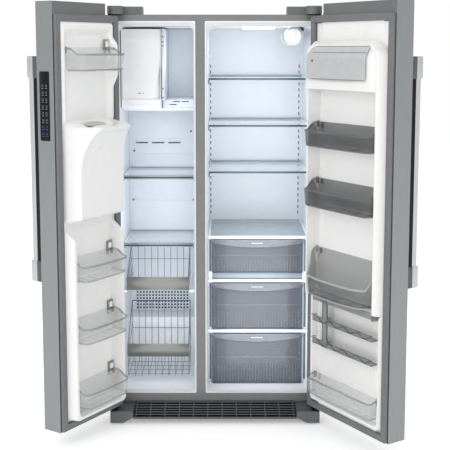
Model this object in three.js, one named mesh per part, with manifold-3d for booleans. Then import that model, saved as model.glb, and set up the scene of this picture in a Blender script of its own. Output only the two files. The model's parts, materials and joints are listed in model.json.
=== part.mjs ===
// A 36 inch side by side refrigerator with both doors swung open, in millimetres, +Z up.
// The front faces -Y. Inside this file the case is centred on x = 0 with its front plane at y = 0;
// the last lines move the whole group so that its origin is the middle of its footprint.
import * as THREE from "three";
import { mergeVertices } from "three/addons/utils/BufferGeometryUtils.js";
import Module from "manifold-3d";

const wasm = await Module();
wasm.setup();

// ---------------------------------------------------------------- driving dimensions

const GAP = 0.3; // between pieces that touch
const SHEET = 1.2; // steel sheet
const WALL = 2.5; // moulded plastic
const THROUGH = 50; // how far a cutting tool runs past the piece it cuts
const PLACE = { x: -33, y: -62 }; // moves the case so that the footprint is centred

const CASE = { width: 908, depth: 610, bottom: 65, top: 1762 };
const SIDE = CASE.width / 2;
const MOUTH = { bottom: 100, top: 1735, depth: 14 }; // white frame round each compartment
const INSIDE = { floor: 104, ceiling: 1712, back: 555 };
const FREEZER = { mouth: [-424, -83], inside: [-416, -93] };
const FRIDGE = { mouth: [-42, 424], inside: [-32, 418] };
const MACHINE = { front: 385, top: 315, wall: 22 }; // compressor space under the back
const STEP = { front: 350, top: 345 }; // raised floor over the compressor space

const FREEZER_DOOR = { width: 388.5, open: 123.2, free: 56, hinge: 60 };
const FRIDGE_DOOR = { width: 514.5, open: 122.5, free: 50, hinge: 56 };
const DOOR = { bottom: 68.4, top: 1803, back: 14.6, front: 101.8 };
const PIVOT = { inset: 12.2, ahead: 45, radius: 6 }; // hinge pins, from the case's side and front
const NOTCH = { width: 90, top: 1757 }; // step in a door's top that clears the hinge cover
const DYKE = { hinge: 44, free: 40, bottom: 118, top: 1706, deep: 45, low: 12 };
const GASKET = { inset: 5, width: 27, bottom: 72, top: 1753, face: 0.8 };

const HANDLE = { inset: 21, bottom: 680, top: 1590, bar: 11, axis: 154, foot: 87, out: 169 };
const ALCOVE = { u: [94, 294], z: [985, 1250], back: 10, bezel: 10 };
const BULGE = { u: [44, 343], z: [925, 1330], deep: 110, radius: 45 };
const PADDLE = { u: 194, y: -41.5, z: 1232, length: 150, axle: 3 };
const CHUTE = { u: [168, 220], top: [24, 84], bottom: [-90, -50] };
const EVAPORATOR_COVER = 470;

const FINISH = {
  case_paint: { color: 0x8b8c8c, roughness: 0.5, metalness: 0.5 },
  stainless: { color: 0x9da0a2, roughness: 0.32, metalness: 0.9 },
  bright_steel: { color: 0xc9cbcc, roughness: 0.22, metalness: 1 },
  grey_plastic: { color: 0x828587, roughness: 0.5, metalness: 0.1 },
  white_plastic: { color: 0xecece9, roughness: 0.4, metalness: 0 },
  clear_plastic: { color: 0xd5dade, roughness: 0.15, metalness: 0 },
  smoked_plastic: { color: 0x8e9192, roughness: 0.15, metalness: 0 },
  drawer_plastic: { color: 0xb4bcc6, roughness: 0.15, metalness: 0 },
  shelf_glass: { color: 0xc4d4d6, roughness: 0.08, metalness: 0 },
  black_glass: { color: 0x101114, roughness: 0.1, metalness: 0 },
  black_steel: { color: 0x1d1e20, roughness: 0.45, metalness: 0.4 },
  gasket_rubber: { color: 0x8c8f91, roughness: 0.7, metalness: 0 },
  foam: { color: 0xe6dcb4, roughness: 0.9, metalness: 0 },
  zinc: { color: 0xb0b3b5, roughness: 0.4, metalness: 0.9 },
  copper: { color: 0xb46a43, roughness: 0.35, metalness: 0.9 },
  nylon: { color: 0x35373a, roughness: 0.6, metalness: 0 },
  basket_wire: { color: 0xdfe3e6, roughness: 0.4, metalness: 0.2 },
};

// ---------------------------------------------------------------- solids

function solidOf(geometry) {
  const source = geometry.index ? geometry.toNonIndexed() : geometry;
  const bare = new THREE.BufferGeometry();
  bare.setAttribute("position", source.getAttribute("position"));
  const merged = mergeVertices(bare, 1e-3);
  const mesh = new wasm.Mesh({
    numProp: 3,
    vertProperties: merged.attributes.position.array,
    triVerts: new Uint32Array(merged.index.array),
  });
  return new wasm.Manifold(mesh);
}

function geometryOf(solid) {
  const mesh = solid.getMesh();
  const geometry = new THREE.BufferGeometry();
  geometry.setAttribute("position", new THREE.BufferAttribute(mesh.vertProperties, 3));
  geometry.setIndex(new THREE.BufferAttribute(mesh.triVerts, 1));
  return geometry;
}

function join(...solids) {
  return solids.reduce((whole, solid) => whole.add(solid));
}

function cut(whole, ...tools) {
  return tools.reduce((left, tool) => left.subtract(tool), whole);
}

function box([x0, x1], [y0, y1], [z0, z1]) {
  const geometry = new THREE.BoxGeometry(x1 - x0, y1 - y0, z1 - z0);
  geometry.translate((x0 + x1) / 2, (y0 + y1) / 2, (z0 + z1) / 2);
  return solidOf(geometry);
}

const X = new THREE.Vector3(1, 0, 0);
const Y = new THREE.Vector3(0, 1, 0);
const Z = new THREE.Vector3(0, 0, 1);
const ALONG = {
  x: new THREE.Matrix4().makeBasis(Y, Z, X),
  y: new THREE.Matrix4().makeBasis(Z, X, Y),
  z: new THREE.Matrix4(),
};

// A prism along an axis. Its outline is given as [y, z], [x, z] or [x, y] points.
function prism(axis, outline, from, to) {
  const flat = outline.map(([a, b]) => (axis === "y" ? [b, a] : [a, b]));
  const shape = new THREE.Shape(flat.map(([a, b]) => new THREE.Vector2(a, b)));
  const geometry = new THREE.ExtrudeGeometry(shape, { depth: to - from, bevelEnabled: false });
  geometry.translate(0, 0, from).applyMatrix4(ALONG[axis]);
  return solidOf(geometry);
}

function arc([a, b], radius, start, end, steps) {
  return Array.from({ length: steps + 1 }, (_, i) => {
    const angle = THREE.MathUtils.degToRad(start + ((end - start) * i) / steps);
    return [a + radius * Math.cos(angle), b + radius * Math.sin(angle)];
  });
}

function rod(axis, centre, radius, from, to, sides = 12) {
  return prism(axis, arc(centre, radius, 0, 360, sides).slice(1), from, to);
}

// A rectangle with its corners rounded: low, high in the first coordinate at the near side, then at the far side.
function rounded([a0, a1], [b0, b1], [nearLow, nearHigh, farHigh, farLow], steps = 4) {
  const corner = (a, b, r, start) => (r ? arc([a, b], r, start, start + 90, steps) : [[a, b]]);
  return [
    ...corner(a0 + nearLow, b0 + nearLow, nearLow, 180),
    ...corner(a1 - nearHigh, b0 + nearHigh, nearHigh, 270),
    ...corner(a1 - farHigh, b1 - farHigh, farHigh, 0),
    ...corner(a0 + farLow, b1 - farLow, farLow, 90),
  ];
}

function turned(profile, sides = 16) {
  const points = profile.map(([r, z]) => new THREE.Vector2(r, z));
  return solidOf(new THREE.LatheGeometry(points, sides).applyMatrix4(ALONG.x));
}

function grown([low, high], by) {
  return [low - by, high + by];
}

function piece(name, finish, solid, at = [0, 0, 0]) {
  const mesh = new THREE.Mesh(geometryOf(solid), new THREE.MeshStandardMaterial(FINISH[finish]));
  mesh.name = name;
  mesh.position.set(...at);
  return mesh;
}

// ---------------------------------------------------------------- case

function cabinetWrapper() {
  const outside = box([-SIDE, SIDE], [0, CASE.depth], [CASE.bottom, CASE.top]);
  const hollow = box(
    grown([-SIDE, SIDE], -SHEET),
    [SHEET, CASE.depth + THROUGH],
    [CASE.bottom - THROUGH, CASE.top - SHEET],
  );
  const mouths = [FREEZER, FRIDGE].map(({ mouth }) =>
    box(grown(mouth, GAP), [-THROUGH, THROUGH], grown([MOUTH.bottom, MOUTH.top], GAP)),
  );
  return cut(outside, hollow, ...mouths);
}

// The collar that the supply cord leaves through.
const GLAND = { x: 412, z: 296, radius: 12, bore: 4.5, out: 3 };

function backPanel() {
  const slots = [120, 150, 180, 210, 240, 270].flatMap((z) =>
    [-330, -130, 70, 270].map((x) => box([x, x + 120], [CASE.depth - THROUGH, CASE.depth + 1], [z, z + 9])),
  );
  const sheet = box(
    grown([-SIDE, SIDE], -SHEET - GAP),
    [CASE.depth - SHEET, CASE.depth],
    [CASE.bottom + GAP, CASE.top - SHEET - GAP],
  );
  const { x, z, radius, bore, out } = GLAND;
  const gland = rod("y", [x, z], radius, CASE.depth - 12, CASE.depth + out, 14);
  return cut(join(sheet, gland), rod("y", [x, z], bore, CASE.depth - THROUGH, CASE.depth + THROUGH, 10), ...slots);
}

// The hollow of one compartment, larger than the inside by the given amount.
function hollowOf(compartment, by, front) {
  const outline = [
    [front, INSIDE.floor - by],
    [STEP.front + by, INSIDE.floor - by],
    [STEP.front + by, STEP.top - by],
    [INSIDE.back + by, STEP.top - by],
    [INSIDE.back + by, INSIDE.ceiling + by],
    [front, INSIDE.ceiling + by],
  ];
  const [low, high] = grown(compartment.inside, by);
  return prism("x", outline, low, high);
}

function mouthOf(compartment, by, front) {
  return box(grown(compartment.mouth, by), [front, MOUTH.depth + by], grown([MOUTH.bottom, MOUTH.top], by));
}

function insulationFoam() {
  const block = box(
    grown([-SIDE, SIDE], -SHEET - GAP),
    [SHEET + GAP, CASE.depth - SHEET - GAP],
    [CASE.bottom + GAP, CASE.top - SHEET - GAP],
  );
  const machine = box(
    grown([-SIDE, SIDE], -MACHINE.wall),
    [MACHINE.front, CASE.depth + THROUGH],
    [CASE.bottom - THROUGH, MACHINE.top],
  );
  const pockets = [FREEZER, FRIDGE].flatMap((compartment) => [
    hollowOf(compartment, WALL + GAP, -THROUGH),
    mouthOf(compartment, GAP, -THROUGH),
  ]);
  return cut(block, machine, ...pockets);
}

function compartmentLiner(compartment) {
  const shell = join(hollowOf(compartment, WALL, GAP), mouthOf(compartment, 0, 0));
  return cut(shell, hollowOf(compartment, 0, -THROUGH));
}

const LADDER = { width: 14, deep: 5, bottom: 800, top: 1560, inset: 12 };
const FILTER = { x: 345, z: 1674, radius: 36, front: 96, back: 420 };

const BASKETS = { upper: 538, lower: 135 };
const RUNNER = { left: [-417, -382], right: [-138, -92], front: 116, lowerBack: STEP.front - 4, upperBack: 460 };

// The compartment with the ledges that its two baskets slide on.
function freezerLiner() {
  const across = [RUNNER.left, RUNNER.right];
  const runners = across.flatMap((x) => [
    box(x, [RUNNER.front, RUNNER.lowerBack], [INSIDE.floor - 1, BASKETS.lower - GAP]),
    box(x, [RUNNER.front, RUNNER.upperBack], [BASKETS.upper - 14, BASKETS.upper - GAP]),
  ]);
  return join(compartmentLiner(FREEZER), ...runners);
}

function fridgeLiner() {
  const [low, high] = FRIDGE.inside;
  const ladders = [low + LADDER.inset, high - LADDER.inset - LADDER.width].map((x) =>
    box([x, x + LADDER.width], [INSIDE.back - LADDER.deep, INSIDE.back + 1], [LADDER.bottom, LADDER.top]),
  );
  const collars = [
    [FILTER.front + 24, FILTER.front + 60],
    [FILTER.back - 40, FILTER.back + 12],
  ].map((y) => {
    const across = [FILTER.x - FILTER.radius - 8, FILTER.x + FILTER.radius + 8];
    return box(across, y, [FILTER.z - FILTER.radius - 8, INSIDE.ceiling + 1]);
  });
  const bore = rod("y", [FILTER.x, FILTER.z], FILTER.radius + 2, FILTER.front, FILTER.back + 4, 20);
  return join(compartmentLiner(FRIDGE), ...ladders, cut(join(...collars), bore));
}

function waterFilter() {
  const body = rod("y", [0, 0], FILTER.radius, 0, FILTER.back - FILTER.front, 20);
  const grip = box([-6, 6], [-10, 1], [-FILTER.radius + 6, FILTER.radius - 6]);
  return join(body, grip);
}

// ---------------------------------------------------------------- base

const AXLE = { y: 560, z: 18, radius: 5, roller: 18, wide: [410, 434] };
const LEG = { x: 420, y: 30, foot: 17, radius: 6, top: 58 };
const RAIL = { inner: 440, outer: 452, bottom: 30, front: 10, back: 600, top: CASE.bottom - GAP };
const FAN = { x: 60, y: 490, z: 150, radius: 70, deep: 22, blades: 5 };
const PLATE = { bottom: 40, top: 43 };

function baseFrame() {
  const rails = [-1, 1].flatMap((s) => {
    const across = [s * RAIL.inner, s * RAIL.outer].sort((a, b) => a - b);
    return [
      box(across, [RAIL.front, RAIL.back], [RAIL.bottom, RAIL.top]),
      box(across, grown([AXLE.y, AXLE.y], 15), [AXLE.z - 10, RAIL.top]),
    ];
  });
  const beam = box(grown([-RAIL.inner, RAIL.inner], 1), [RAIL.front, 50], [34, RAIL.top]);
  const plate = box(grown([-RAIL.inner, RAIL.inner], 1), [MACHINE.front + 3, RAIL.back], [PLATE.bottom, PLATE.top]);
  const behindFan = FAN.y + FAN.deep + GAP;
  const fanPost = box(grown([FAN.x, FAN.x], 9), [behindFan, behindFan + 8], [PLATE.top - 1, FAN.z + 16]);
  const bores = [-1, 1].map((s) => rod("z", [s * LEG.x, LEG.y], LEG.radius + GAP, 0, LEG.top + 2));
  const axle = rod("x", [AXLE.y, AXLE.z], AXLE.radius + GAP, -SIDE - 1, SIDE + 1);
  return cut(join(beam, plate, fanPost, ...rails), ...bores, axle);
}

function rearRollers() {
  const rollers = [-1, 1].map((s) => {
    const [from, to] = AXLE.wide.map((x) => s * x).sort((a, b) => a - b);
    return rod("x", [0, 0], AXLE.roller, from, to, 20);
  });
  return join(rod("x", [0, 0], AXLE.radius, -448, 448), ...rollers);
}

function levellingLeg() {
  const profile = [
    [0, 0],
    [LEG.foot, 0],
    [LEG.foot, 7],
    [LEG.radius, 11],
    [LEG.radius, LEG.top],
    [0, LEG.top],
  ];
  return turned(profile, 12);
}

const TOE = { side: 454, flat: 399, inner: 355, front: -111, rear: 2.7, bottom: 5.5, top: 57 };
const LOUVRE = { from: [-6, 62], to: [-105, 33], thick: 4, rows: 5, pitch: 17, slot: 10, columns: 11, rib: 4 };

// Two side blocks joined by a sloping panel with rows of slots and a lip along its front.
function toeGrille() {
  const blocks = [-1, 1].map((s) => {
    const outline = [
      [s * TOE.side, TOE.bottom],
      [s * TOE.flat, TOE.bottom],
      [s * TOE.inner, LOUVRE.to[1] - LOUVRE.thick],
      [s * TOE.inner, TOE.top],
      [s * TOE.side, TOE.top],
    ];
    return prism("y", outline, TOE.front, TOE.rear);
  });
  const { from, to, thick, rows, pitch, slot, columns, rib } = LOUVRE;
  const sloping = [
    [to[0] - 4, to[1] - thick],
    [to[0] - 4, to[1]],
    from,
    [TOE.rear, from[1]],
    [TOE.rear, from[1] - thick],
    [from[0], from[1] - thick],
  ];
  const panel = prism("x", sloping, -TOE.inner - 1, TOE.inner + 1);
  const wide = (2 * TOE.inner - 26) / columns;
  const windows = [];
  for (let row = 0; row < rows; row += 1) {
    for (let column = 0; column < columns; column += 1) {
      const x = (column - (columns - 1) / 2) * wide;
      const y = to[0] + 10 + row * pitch;
      windows.push(box(grown([x, x], (wide - rib) / 2), [y, y + slot], [0, THROUGH + TOE.top]));
    }
  }
  return cut(join(panel, ...blocks), ...windows);
}

// ---------------------------------------------------------------- machine compartment

function compressor() {
  const shell = turned([
    [0, 0],
    [86, 0],
    [86, 4],
    [70, 8],
    [78, 30],
    [80, 90],
    [74, 140],
    [52, 168],
    [20, 176],
    [0, 177],
  ]);
  return shell;
}

// A tube folded back and forth in the plane of x and z.
function serpentine([x0, x1], z0, passes, pitch, thick) {
  const rows = Array.from({ length: passes }, (_, i) => {
    const z = z0 + i * pitch;
    return box([x0, x1], [0, thick], [z, z + thick]);
  });
  const ends = rows.slice(1).map((_, i) => {
    const x = i % 2 ? x0 : x1 - thick;
    return box([x, x + thick], [0, thick], [z0 + i * pitch, z0 + (i + 1) * pitch + thick]);
  });
  return join(...rows, ...ends);
}

function condenserFan() {
  const { radius, deep, blades } = FAN;
  const hub = rod("y", [0, 0], 16, 0, deep, 12);
  const blade = (angle) => {
    const outline = [
      [10, 4],
      [radius, 2],
      [radius, 6],
      [10, 20],
    ];
    const flat = geometryOf(prism("z", outline, -12, 12));
    return solidOf(flat.rotateY(angle));
  };
  const turn = (2 * Math.PI) / blades;
  return join(hub, ...Array.from({ length: blades }, (_, i) => blade(i * turn)));
}

// ---------------------------------------------------------------- hinges

const HINGE_PLATE = { z: [CASE.top + GAP, CASE.top + 5], x: [-445, -390, -330], y: [-54, 10, 70] };
const COVER = { low: -450.5, narrow: -384, wide: -308, front: -76, step: 4, back: 80, top: 1796 };

function topHinge() {
  const [bottom, top] = HINGE_PLATE.z;
  const [low, narrow, wide] = HINGE_PLATE.x;
  const [front, step, back] = HINGE_PLATE.y;
  const outline = [
    [low, front],
    [narrow, front],
    [narrow, step],
    [wide, step],
    [wide, back],
    [low, back],
  ];
  const pin = rod("z", [PIVOT.inset - SIDE, -PIVOT.ahead], PIVOT.radius, NOTCH.top - 14, top);
  return join(prism("z", outline, bottom, top), pin);
}

function coverOutline(by) {
  const radius = 30 - by;
  const low = COVER.low + by;
  const narrow = COVER.narrow - by;
  const front = COVER.front + by;
  return [
    ...arc([low + radius, front + radius], radius, 180, 270, 4),
    ...arc([narrow - radius, front + radius], radius, 270, 360, 4),
    [narrow, COVER.step + by],
    [COVER.wide - by, COVER.step + by],
    [COVER.wide - by, COVER.back - by],
    [low, COVER.back - by],
  ];
}

function hingeCover() {
  const outside = prism("z", coverOutline(0), CASE.top + GAP, COVER.top);
  return cut(outside, prism("z", coverOutline(WALL), CASE.top - THROUGH, COVER.top - WALL));
}

function bottomHinge() {
  const plate = box([-453, -423], [-105, 9], [58, 63]);
  const lug = box([-453, -430], [3, RAIL.front - GAP], [36, 60]);
  const centre = [PIVOT.inset - SIDE, -PIVOT.ahead];
  const pin = rod("z", centre, PIVOT.radius, 60, DOOR.bottom + 15);
  return join(plate, lug, pin, rod("z", centre, 11, 62, DOOR.bottom - GAP));
}

// ---------------------------------------------------------------- freezer compartment

const ICE_LEDGE = { top: 1356, front: 200, step: -235, block: 1391 };

// The back wall of the freezer, with the ledge that carries the ice bin.
function evaporatorCover() {
  const [low, high] = grown(FREEZER.inside, -GAP);
  const sheet = box([low, high], [EVAPORATOR_COVER, EVAPORATOR_COVER + WALL], [STEP.top + 1, INSIDE.ceiling - 1]);
  const slots = [0, 1, 2].map((i) =>
    box([-384 + i * 78, -326 + i * 78], [EVAPORATOR_COVER - 1, EVAPORATOR_COVER + 9], [1165, 1178]),
  );
  const { top, front, step, block } = ICE_LEDGE;
  const ledge = box([low, high], [front, EVAPORATOR_COVER + 1], [top - 15, top]);
  const raised = box([step, high], [front, EVAPORATOR_COVER + 1], [top - 1, block]);
  return cut(join(sheet, ledge, raised), ...slots);
}

const ICE_BIN = { x: [-412, -238], y: [112, 452], bottom: ICE_LEDGE.top + GAP, rim: 1540, top: 1704, wall: 3 };

function iceBin() {
  const { x, y, bottom, rim, top, wall } = ICE_BIN;
  const tub = box(x, y, [bottom, rim]);
  const front = box(x, [y[0], y[0] + 10], [bottom, top]);
  const hollow = box(grown(x, -wall), [y[0] + 10, y[1] - wall], [bottom + wall, rim + THROUGH]);
  return cut(join(tub, front), hollow);
}

// A helical wire joined to a straight shaft at both of its ends.
function iceAuger() {
  const length = ICE_BIN.y[1] - ICE_BIN.y[0] - 10 - ICE_BIN.wall - 2 * GAP;
  const radius = 26;
  const turns = 3.5;
  class Helix extends THREE.Curve {
    getPoint(t) {
      const angle = 2 * Math.PI * turns * t;
      return new THREE.Vector3(radius * Math.cos(angle), 14 + (length - 28) * t, radius * Math.sin(angle));
    }
  }
  const section = new THREE.Shape(arc([0, 0], 4, 0, 360, 6).map(([a, b]) => new THREE.Vector2(a, b)).slice(1));
  const wire = new THREE.ExtrudeGeometry(section, {
    steps: 56,
    extrudePath: new Helix(),
    bevelEnabled: false,
  });
  const shaft = rod("y", [0, 0], 5, 0, length, 8);
  const arms = [box([0, radius], [10, 18], [-4, 4]), box([-radius, 0], [length - 18, length - 10], [-4, 4])];
  return join(solidOf(wire), shaft, ...arms);
}

const ICE_MAKER = { x: [-402, -246], y: [236, EVAPORATOR_COVER - GAP], z: [1572, 1690] };

function iceMaker() {
  const { x, y, z } = ICE_MAKER;
  const head = box([x[0], x[1]], [y[0], y[0] + 60], z);
  const tray = box([x[0] + 12, x[1] - 12], [y[0] + 59, y[1]], [z[0] + 22, z[1] - 10]);
  const hollow = box([x[0] + 18, x[1] - 18], [y[0] + 66, y[1] - 6], [z[0] + 34, z[1] + 10]);
  return cut(join(head, tray), hollow);
}

const FREEZER_SHELF = { x: grown(FREEZER.inside, -GAP), y: [150, EVAPORATOR_COVER - GAP], thick: 5, bar: 17 };

function freezerShelf() {
  const { x, y, thick, bar } = FREEZER_SHELF;
  const glass = box(x, [y[0] + 6, y[1]], [-thick, 0]);
  return join(glass, box(x, [y[0], y[0] + 8], [-bar, 2]));
}

const BASKET = { x: [-398, -119], y: [112, 338], wire: 3.5, bar: 62 };

// A wire basket: hoops that run down the front, back under the floor and up the back, joined by rails.
function wireBasket(height, barBottom) {
  const { x, y, wire, bar } = BASKET;
  const span = x[1] - x[0];
  const hoops = Array.from({ length: 9 }, (_, i) => {
    const at = x[0] + ((span - wire) * i) / 8;
    const ring = box([at, at + wire], y, [0, height]);
    return cut(ring, box([at - 1, at + wire + 1], grown(y, -wire), [wire, height + 1]));
  });
  const loop = (z) => {
    const [outer, inner] = [-1, -1 - wire].map((by) => [grown(x, by), grown(y, by)]);
    return cut(box(...outer, [z, z + wire]), box(...inner, [z - 1, z + wire + 1]));
  };
  const rails = [height - wire - 1, height / 2, 1].map(loop);
  const stringers = [0.33, 0.67].map((t) => {
    const at = y[0] + (y[1] - y[0]) * t;
    return box(grown(x, -1), [at, at + wire], [1, wire + 1]);
  });
  const front = box(grown(x, 1), [y[0] - 8, y[0] + 0.5], [barBottom + 1, barBottom + bar]);
  return join(...hoops, ...rails, ...stringers, front);
}

// ---------------------------------------------------------------- fridge compartment

const GLASS_SHELF = { x: grown(FRIDGE.inside, -GAP), y: [130, INSIDE.back - LADDER.deep - GAP], thick: 6 };

function glassShelf() {
  const { x, y, thick } = GLASS_SHELF;
  const pane = box([x[0], x[1]], y, [-thick, 0]);
  const brackets = [x[0] + 12, x[1] - 16].map((at) => {
    const side = [
      [y[0] + 80, -thick],
      [y[1], -thick - 34],
      [y[1], -thick + 1],
      [y[0] + 80, -thick + 1],
    ];
    return prism("x", side, at, at + 4);
  });
  return join(pane, ...brackets);
}

const CRISPER = { x: grown(FRIDGE.inside, -GAP), front: 112, back: 545, walls: [-12, 390] };
const DECKS = { top: [772.5, 786], second: [574, 616.7], third: [341, 356.7] };

// Three decks between two side walls; the lowest part stops in front of the raised floor.
function crisperFrame() {
  const { x, front, back, walls } = CRISPER;
  const shallow = STEP.front - 4;
  const decks = [
    box(x, [front, back], DECKS.top),
    box(x, [front, back], DECKS.second),
    box(x, [front, shallow], DECKS.third),
  ];
  const sides = [
    [x[0], walls[0]],
    [walls[1], x[1]],
  ].flatMap((across) => [
    box(across, [front + 10, back], [STEP.top + 2, DECKS.top[1] - 1]),
    box(across, [front + 10, shallow], [INSIDE.floor + GAP, STEP.top + 3]),
  ]);
  return join(...decks, ...sides);
}

const DRAWER = { x: [-10, 388], lip: [-18, 396], front: 112, wall: WALL, band: 22 };

// An open tub with a rolled lip along the top of its front.
function crisperDrawer(height, back) {
  const { x, lip, front, wall, band } = DRAWER;
  const outline = (by) => rounded(grown(x, -by), [front - 2 + by, back - by], [16, 16, 6, 6], 3);
  const tub = cut(prism("z", outline(0), 0, height), prism("z", outline(wall), wall, height + THROUGH));
  return join(tub, box(lip, [front - 8, front - 1], [height - band, height]));
}

// ---------------------------------------------------------------- doors, each in its own closed frame:
// x runs from the hinge side to the free side, y = 0 is the case's front plane and the door lies at y < 0

const PANEL = [-DOOR.front, -DOOR.back];
const TALL = [DOOR.bottom + 1.1, DOOR.top - 1.7];

function notchTool() {
  return box([-THROUGH, NOTCH.width], [-DOOR.front - THROUGH, THROUGH], [NOTCH.top, DOOR.top + THROUGH]);
}

function alcoveTool(by, back) {
  return box(grown(ALCOVE.u, by), [-DOOR.front - THROUGH, back], grown(ALCOVE.z, by));
}

function doorSkin(width) {
  const outside = box([0, width], PANEL, TALL);
  const hollow = box(grown([0, width], -1), [1 - DOOR.front, -DOOR.back - 1], [0, DOOR.top + THROUGH]);
  const back = box(grown([0, width], -12), [-DOOR.back - 2, THROUGH], [0, DOOR.top + THROUGH]);
  const cap = box(grown([0, width], -1), [-DOOR.back - 2, THROUGH], [GASKET.top + 3, DOOR.top + THROUGH]);
  return cut(outside, hollow, back, cap, notchTool());
}

function doorCore(width) {
  const inner = grown([0, width], -1 - GAP);
  const block = box(inner, [1 + GAP - DOOR.front, -DOOR.back - 3], [DOOR.bottom, DOOR.top]);
  const capBack = box(inner, [-DOOR.back - 4, -DOOR.back], [GASKET.top + 3.3, DOOR.top]);
  const footBack = box(grown([0, width], -12.3), [-DOOR.back - 4, -DOOR.back], [DOOR.bottom, GASKET.bottom]);
  const lids = [
    [TALL[1] + GAP, DOOR.top],
    [DOOR.bottom, TALL[0] - GAP],
  ].map((z) => box([0, width], PANEL, z));
  const pins = [
    [DOOR.bottom - 1, DOOR.bottom + 18],
    [NOTCH.top - 17, NOTCH.top + 1],
  ].map(([from, to]) => rod("z", [PIVOT.inset, -PIVOT.ahead], PIVOT.radius + 0.5, from, to));
  return cut(join(block, capBack, footBack, ...lids), notchTool(), ...pins);
}

function gasket(width) {
  const outer = grown([0, width], -GASKET.inset);
  const tall = [GASKET.bottom, GASKET.top];
  const ring = box(outer, [-DOOR.back + GAP, -GASKET.face], tall);
  return cut(ring, box(grown(outer, -GASKET.width), [-THROUGH, THROUGH], grown(tall, -GASKET.width)));
}

// Where the forms that stand out from the inner door are rooted.
function rootOf(by) {
  return -DOOR.back - 2.7 + by;
}

// A raised frame on the inner door, between two heights, standing out by a depth; "by" thickens it all round.
function dyke(door, [bottom, top], deep, ends, by) {
  const outer = [DYKE.hinge, door.width - DYKE.free];
  const inner = [door.hinge, door.width - door.free];
  const frame = box(grown(outer, by), [rootOf(by), deep + by], grown([bottom, top], by));
  const tall = [bottom + ends[0] + by, top - ends[1] - by];
  return cut(frame, box(grown(inner, -by), [rootOf(by) - 1, deep + THROUGH], tall));
}

function linerPlate(width) {
  return box(grown([0, width], -12 - GAP), [-DOOR.back - 2.7, -DOOR.back - GAP], [GASKET.bottom + 1, GASKET.top + 2.7]);
}

function freezerDoorForm(by) {
  const { u, z, deep, radius } = BULGE;
  const corner = radius + by;
  const outline = rounded(grown(u, by), [rootOf(by), deep + by], [0, 0, corner, corner]);
  return join(
    dyke(FREEZER_DOOR, [DYKE.bottom, z[0] + 1], DYKE.deep, [16, -THROUGH], by),
    dyke(FREEZER_DOOR, [z[1] - 1, DYKE.top], DYKE.low, [-THROUGH, 16], by),
    prism("z", outline, z[0] - by, z[1] + by),
  );
}

function fridgeDoorForm(by) {
  return join(
    dyke(FRIDGE_DOOR, [LINER_STEP, DYKE.top], DYKE.deep, [-THROUGH, 16], by),
    dyke(FRIDGE_DOOR, [DYKE.bottom, LINER_STEP + 1], DYKE.low, [16, -THROUGH], by),
  );
}

function doorLiner(door, form) {
  return cut(join(linerPlate(door.width), form(0)), form(-WALL));
}

function doorFoam(door, form) {
  return join(doorCore(door.width), form(-WALL - GAP));
}

// The passage that lets ice slide from the back of the freezer door down into the dispenser.
function chuteTool() {
  const { u, top, bottom } = CHUTE;
  const outline = [
    [bottom[0], ALCOVE.z[1] - THROUGH],
    [bottom[1], ALCOVE.z[1] - THROUGH],
    [bottom[1], ALCOVE.z[1]],
    [top[1], BULGE.z[1] + 1],
    [top[0], BULGE.z[1] + 1],
    [bottom[0], ALCOVE.z[1] + 14],
  ];
  return prism("x", outline, ...u);
}

const DAIRY = { u: [56.3, 464.2], z: [1455, 1642], deep: 62, wall: 4, cover: [1490, 1632] };
const LINER_STEP = 577;

function dairyHousing() {
  const outside = box(DAIRY.u, [-DOOR.back, DAIRY.deep], DAIRY.z);
  const inside = grown(DAIRY.z, -DAIRY.wall);
  return cut(outside, box(grown(DAIRY.u, -DAIRY.wall), [-DOOR.back + DAIRY.wall, THROUGH * 2], inside));
}

function dairyCover() {
  const tall = DAIRY.cover[1] - DAIRY.cover[0];
  const outline = [
    [0, 0],
    [7, -tall * 0.35],
    [7, -tall * 0.65],
    [0, -tall],
    [3, -tall],
    [10, -tall * 0.65],
    [10, -tall * 0.35],
    [3, 0],
  ];
  return prism("x", outline, 0, DAIRY.u[1] - DAIRY.u[0] - 6);
}

// A door bin: an open tray, higher at the back than at its rounded front.
function doorBin([u0, u1], deep, frontHeight, backHeight) {
  const near = -DOOR.back;
  const radius = 34;
  const outline = (by) => rounded(grown([u0, u1], -by), [near + by, deep - by], [3, 3, radius - by, radius - by]);
  const tray = cut(
    prism("z", outline(0), 0, backHeight),
    prism("z", outline(WALL), WALL, backHeight + THROUGH),
  );
  const slope = [
    [deep * 0.45, backHeight],
    [deep * 0.75, frontHeight],
    [deep + 1, frontHeight],
    [deep + 1, backHeight + 1],
    [deep * 0.45, backHeight + 1],
  ];
  return cut(tray, prism("x", slope, u0 - 1, u1 + 1));
}

// A rack for cans: two scalloped shelves between end plates, with a post and a top rail in front.
const RACK = { u: [56.3, 464.2], z: [366, 595], near: -DOOR.back, far: 40, shelves: [392, 490], scallops: 4 };

function canRack() {
  const { u, z, near, far, shelves, scallops } = RACK;
  const width = u[1] - u[0] - 4;
  const count = scallops * 6;
  const wave = Array.from({ length: count + 1 }, (_, i) => [
    u[0] + 2 + (width * i) / count,
    9 * Math.cos((2 * Math.PI * scallops * i) / count),
  ]);
  const shelfAt = (height) => {
    const upper = wave.map(([a, b]) => [a, b + height + 3]).reverse();
    return prism("y", [...wave.map(([a, b]) => [a, b + height]), ...upper], near, far);
  };
  const plates = [u[0], u[1] - 3].map((at) => box([at, at + 3], [near, far], z));
  const rail = box(u, [far - 4, far], [z[1] - 26, z[1]]);
  const post = box([150, 182], [far - 4, far], [z[0], z[1] - 20]);
  return join(...plates, ...shelves.map(shelfAt), rail, post);
}

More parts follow.
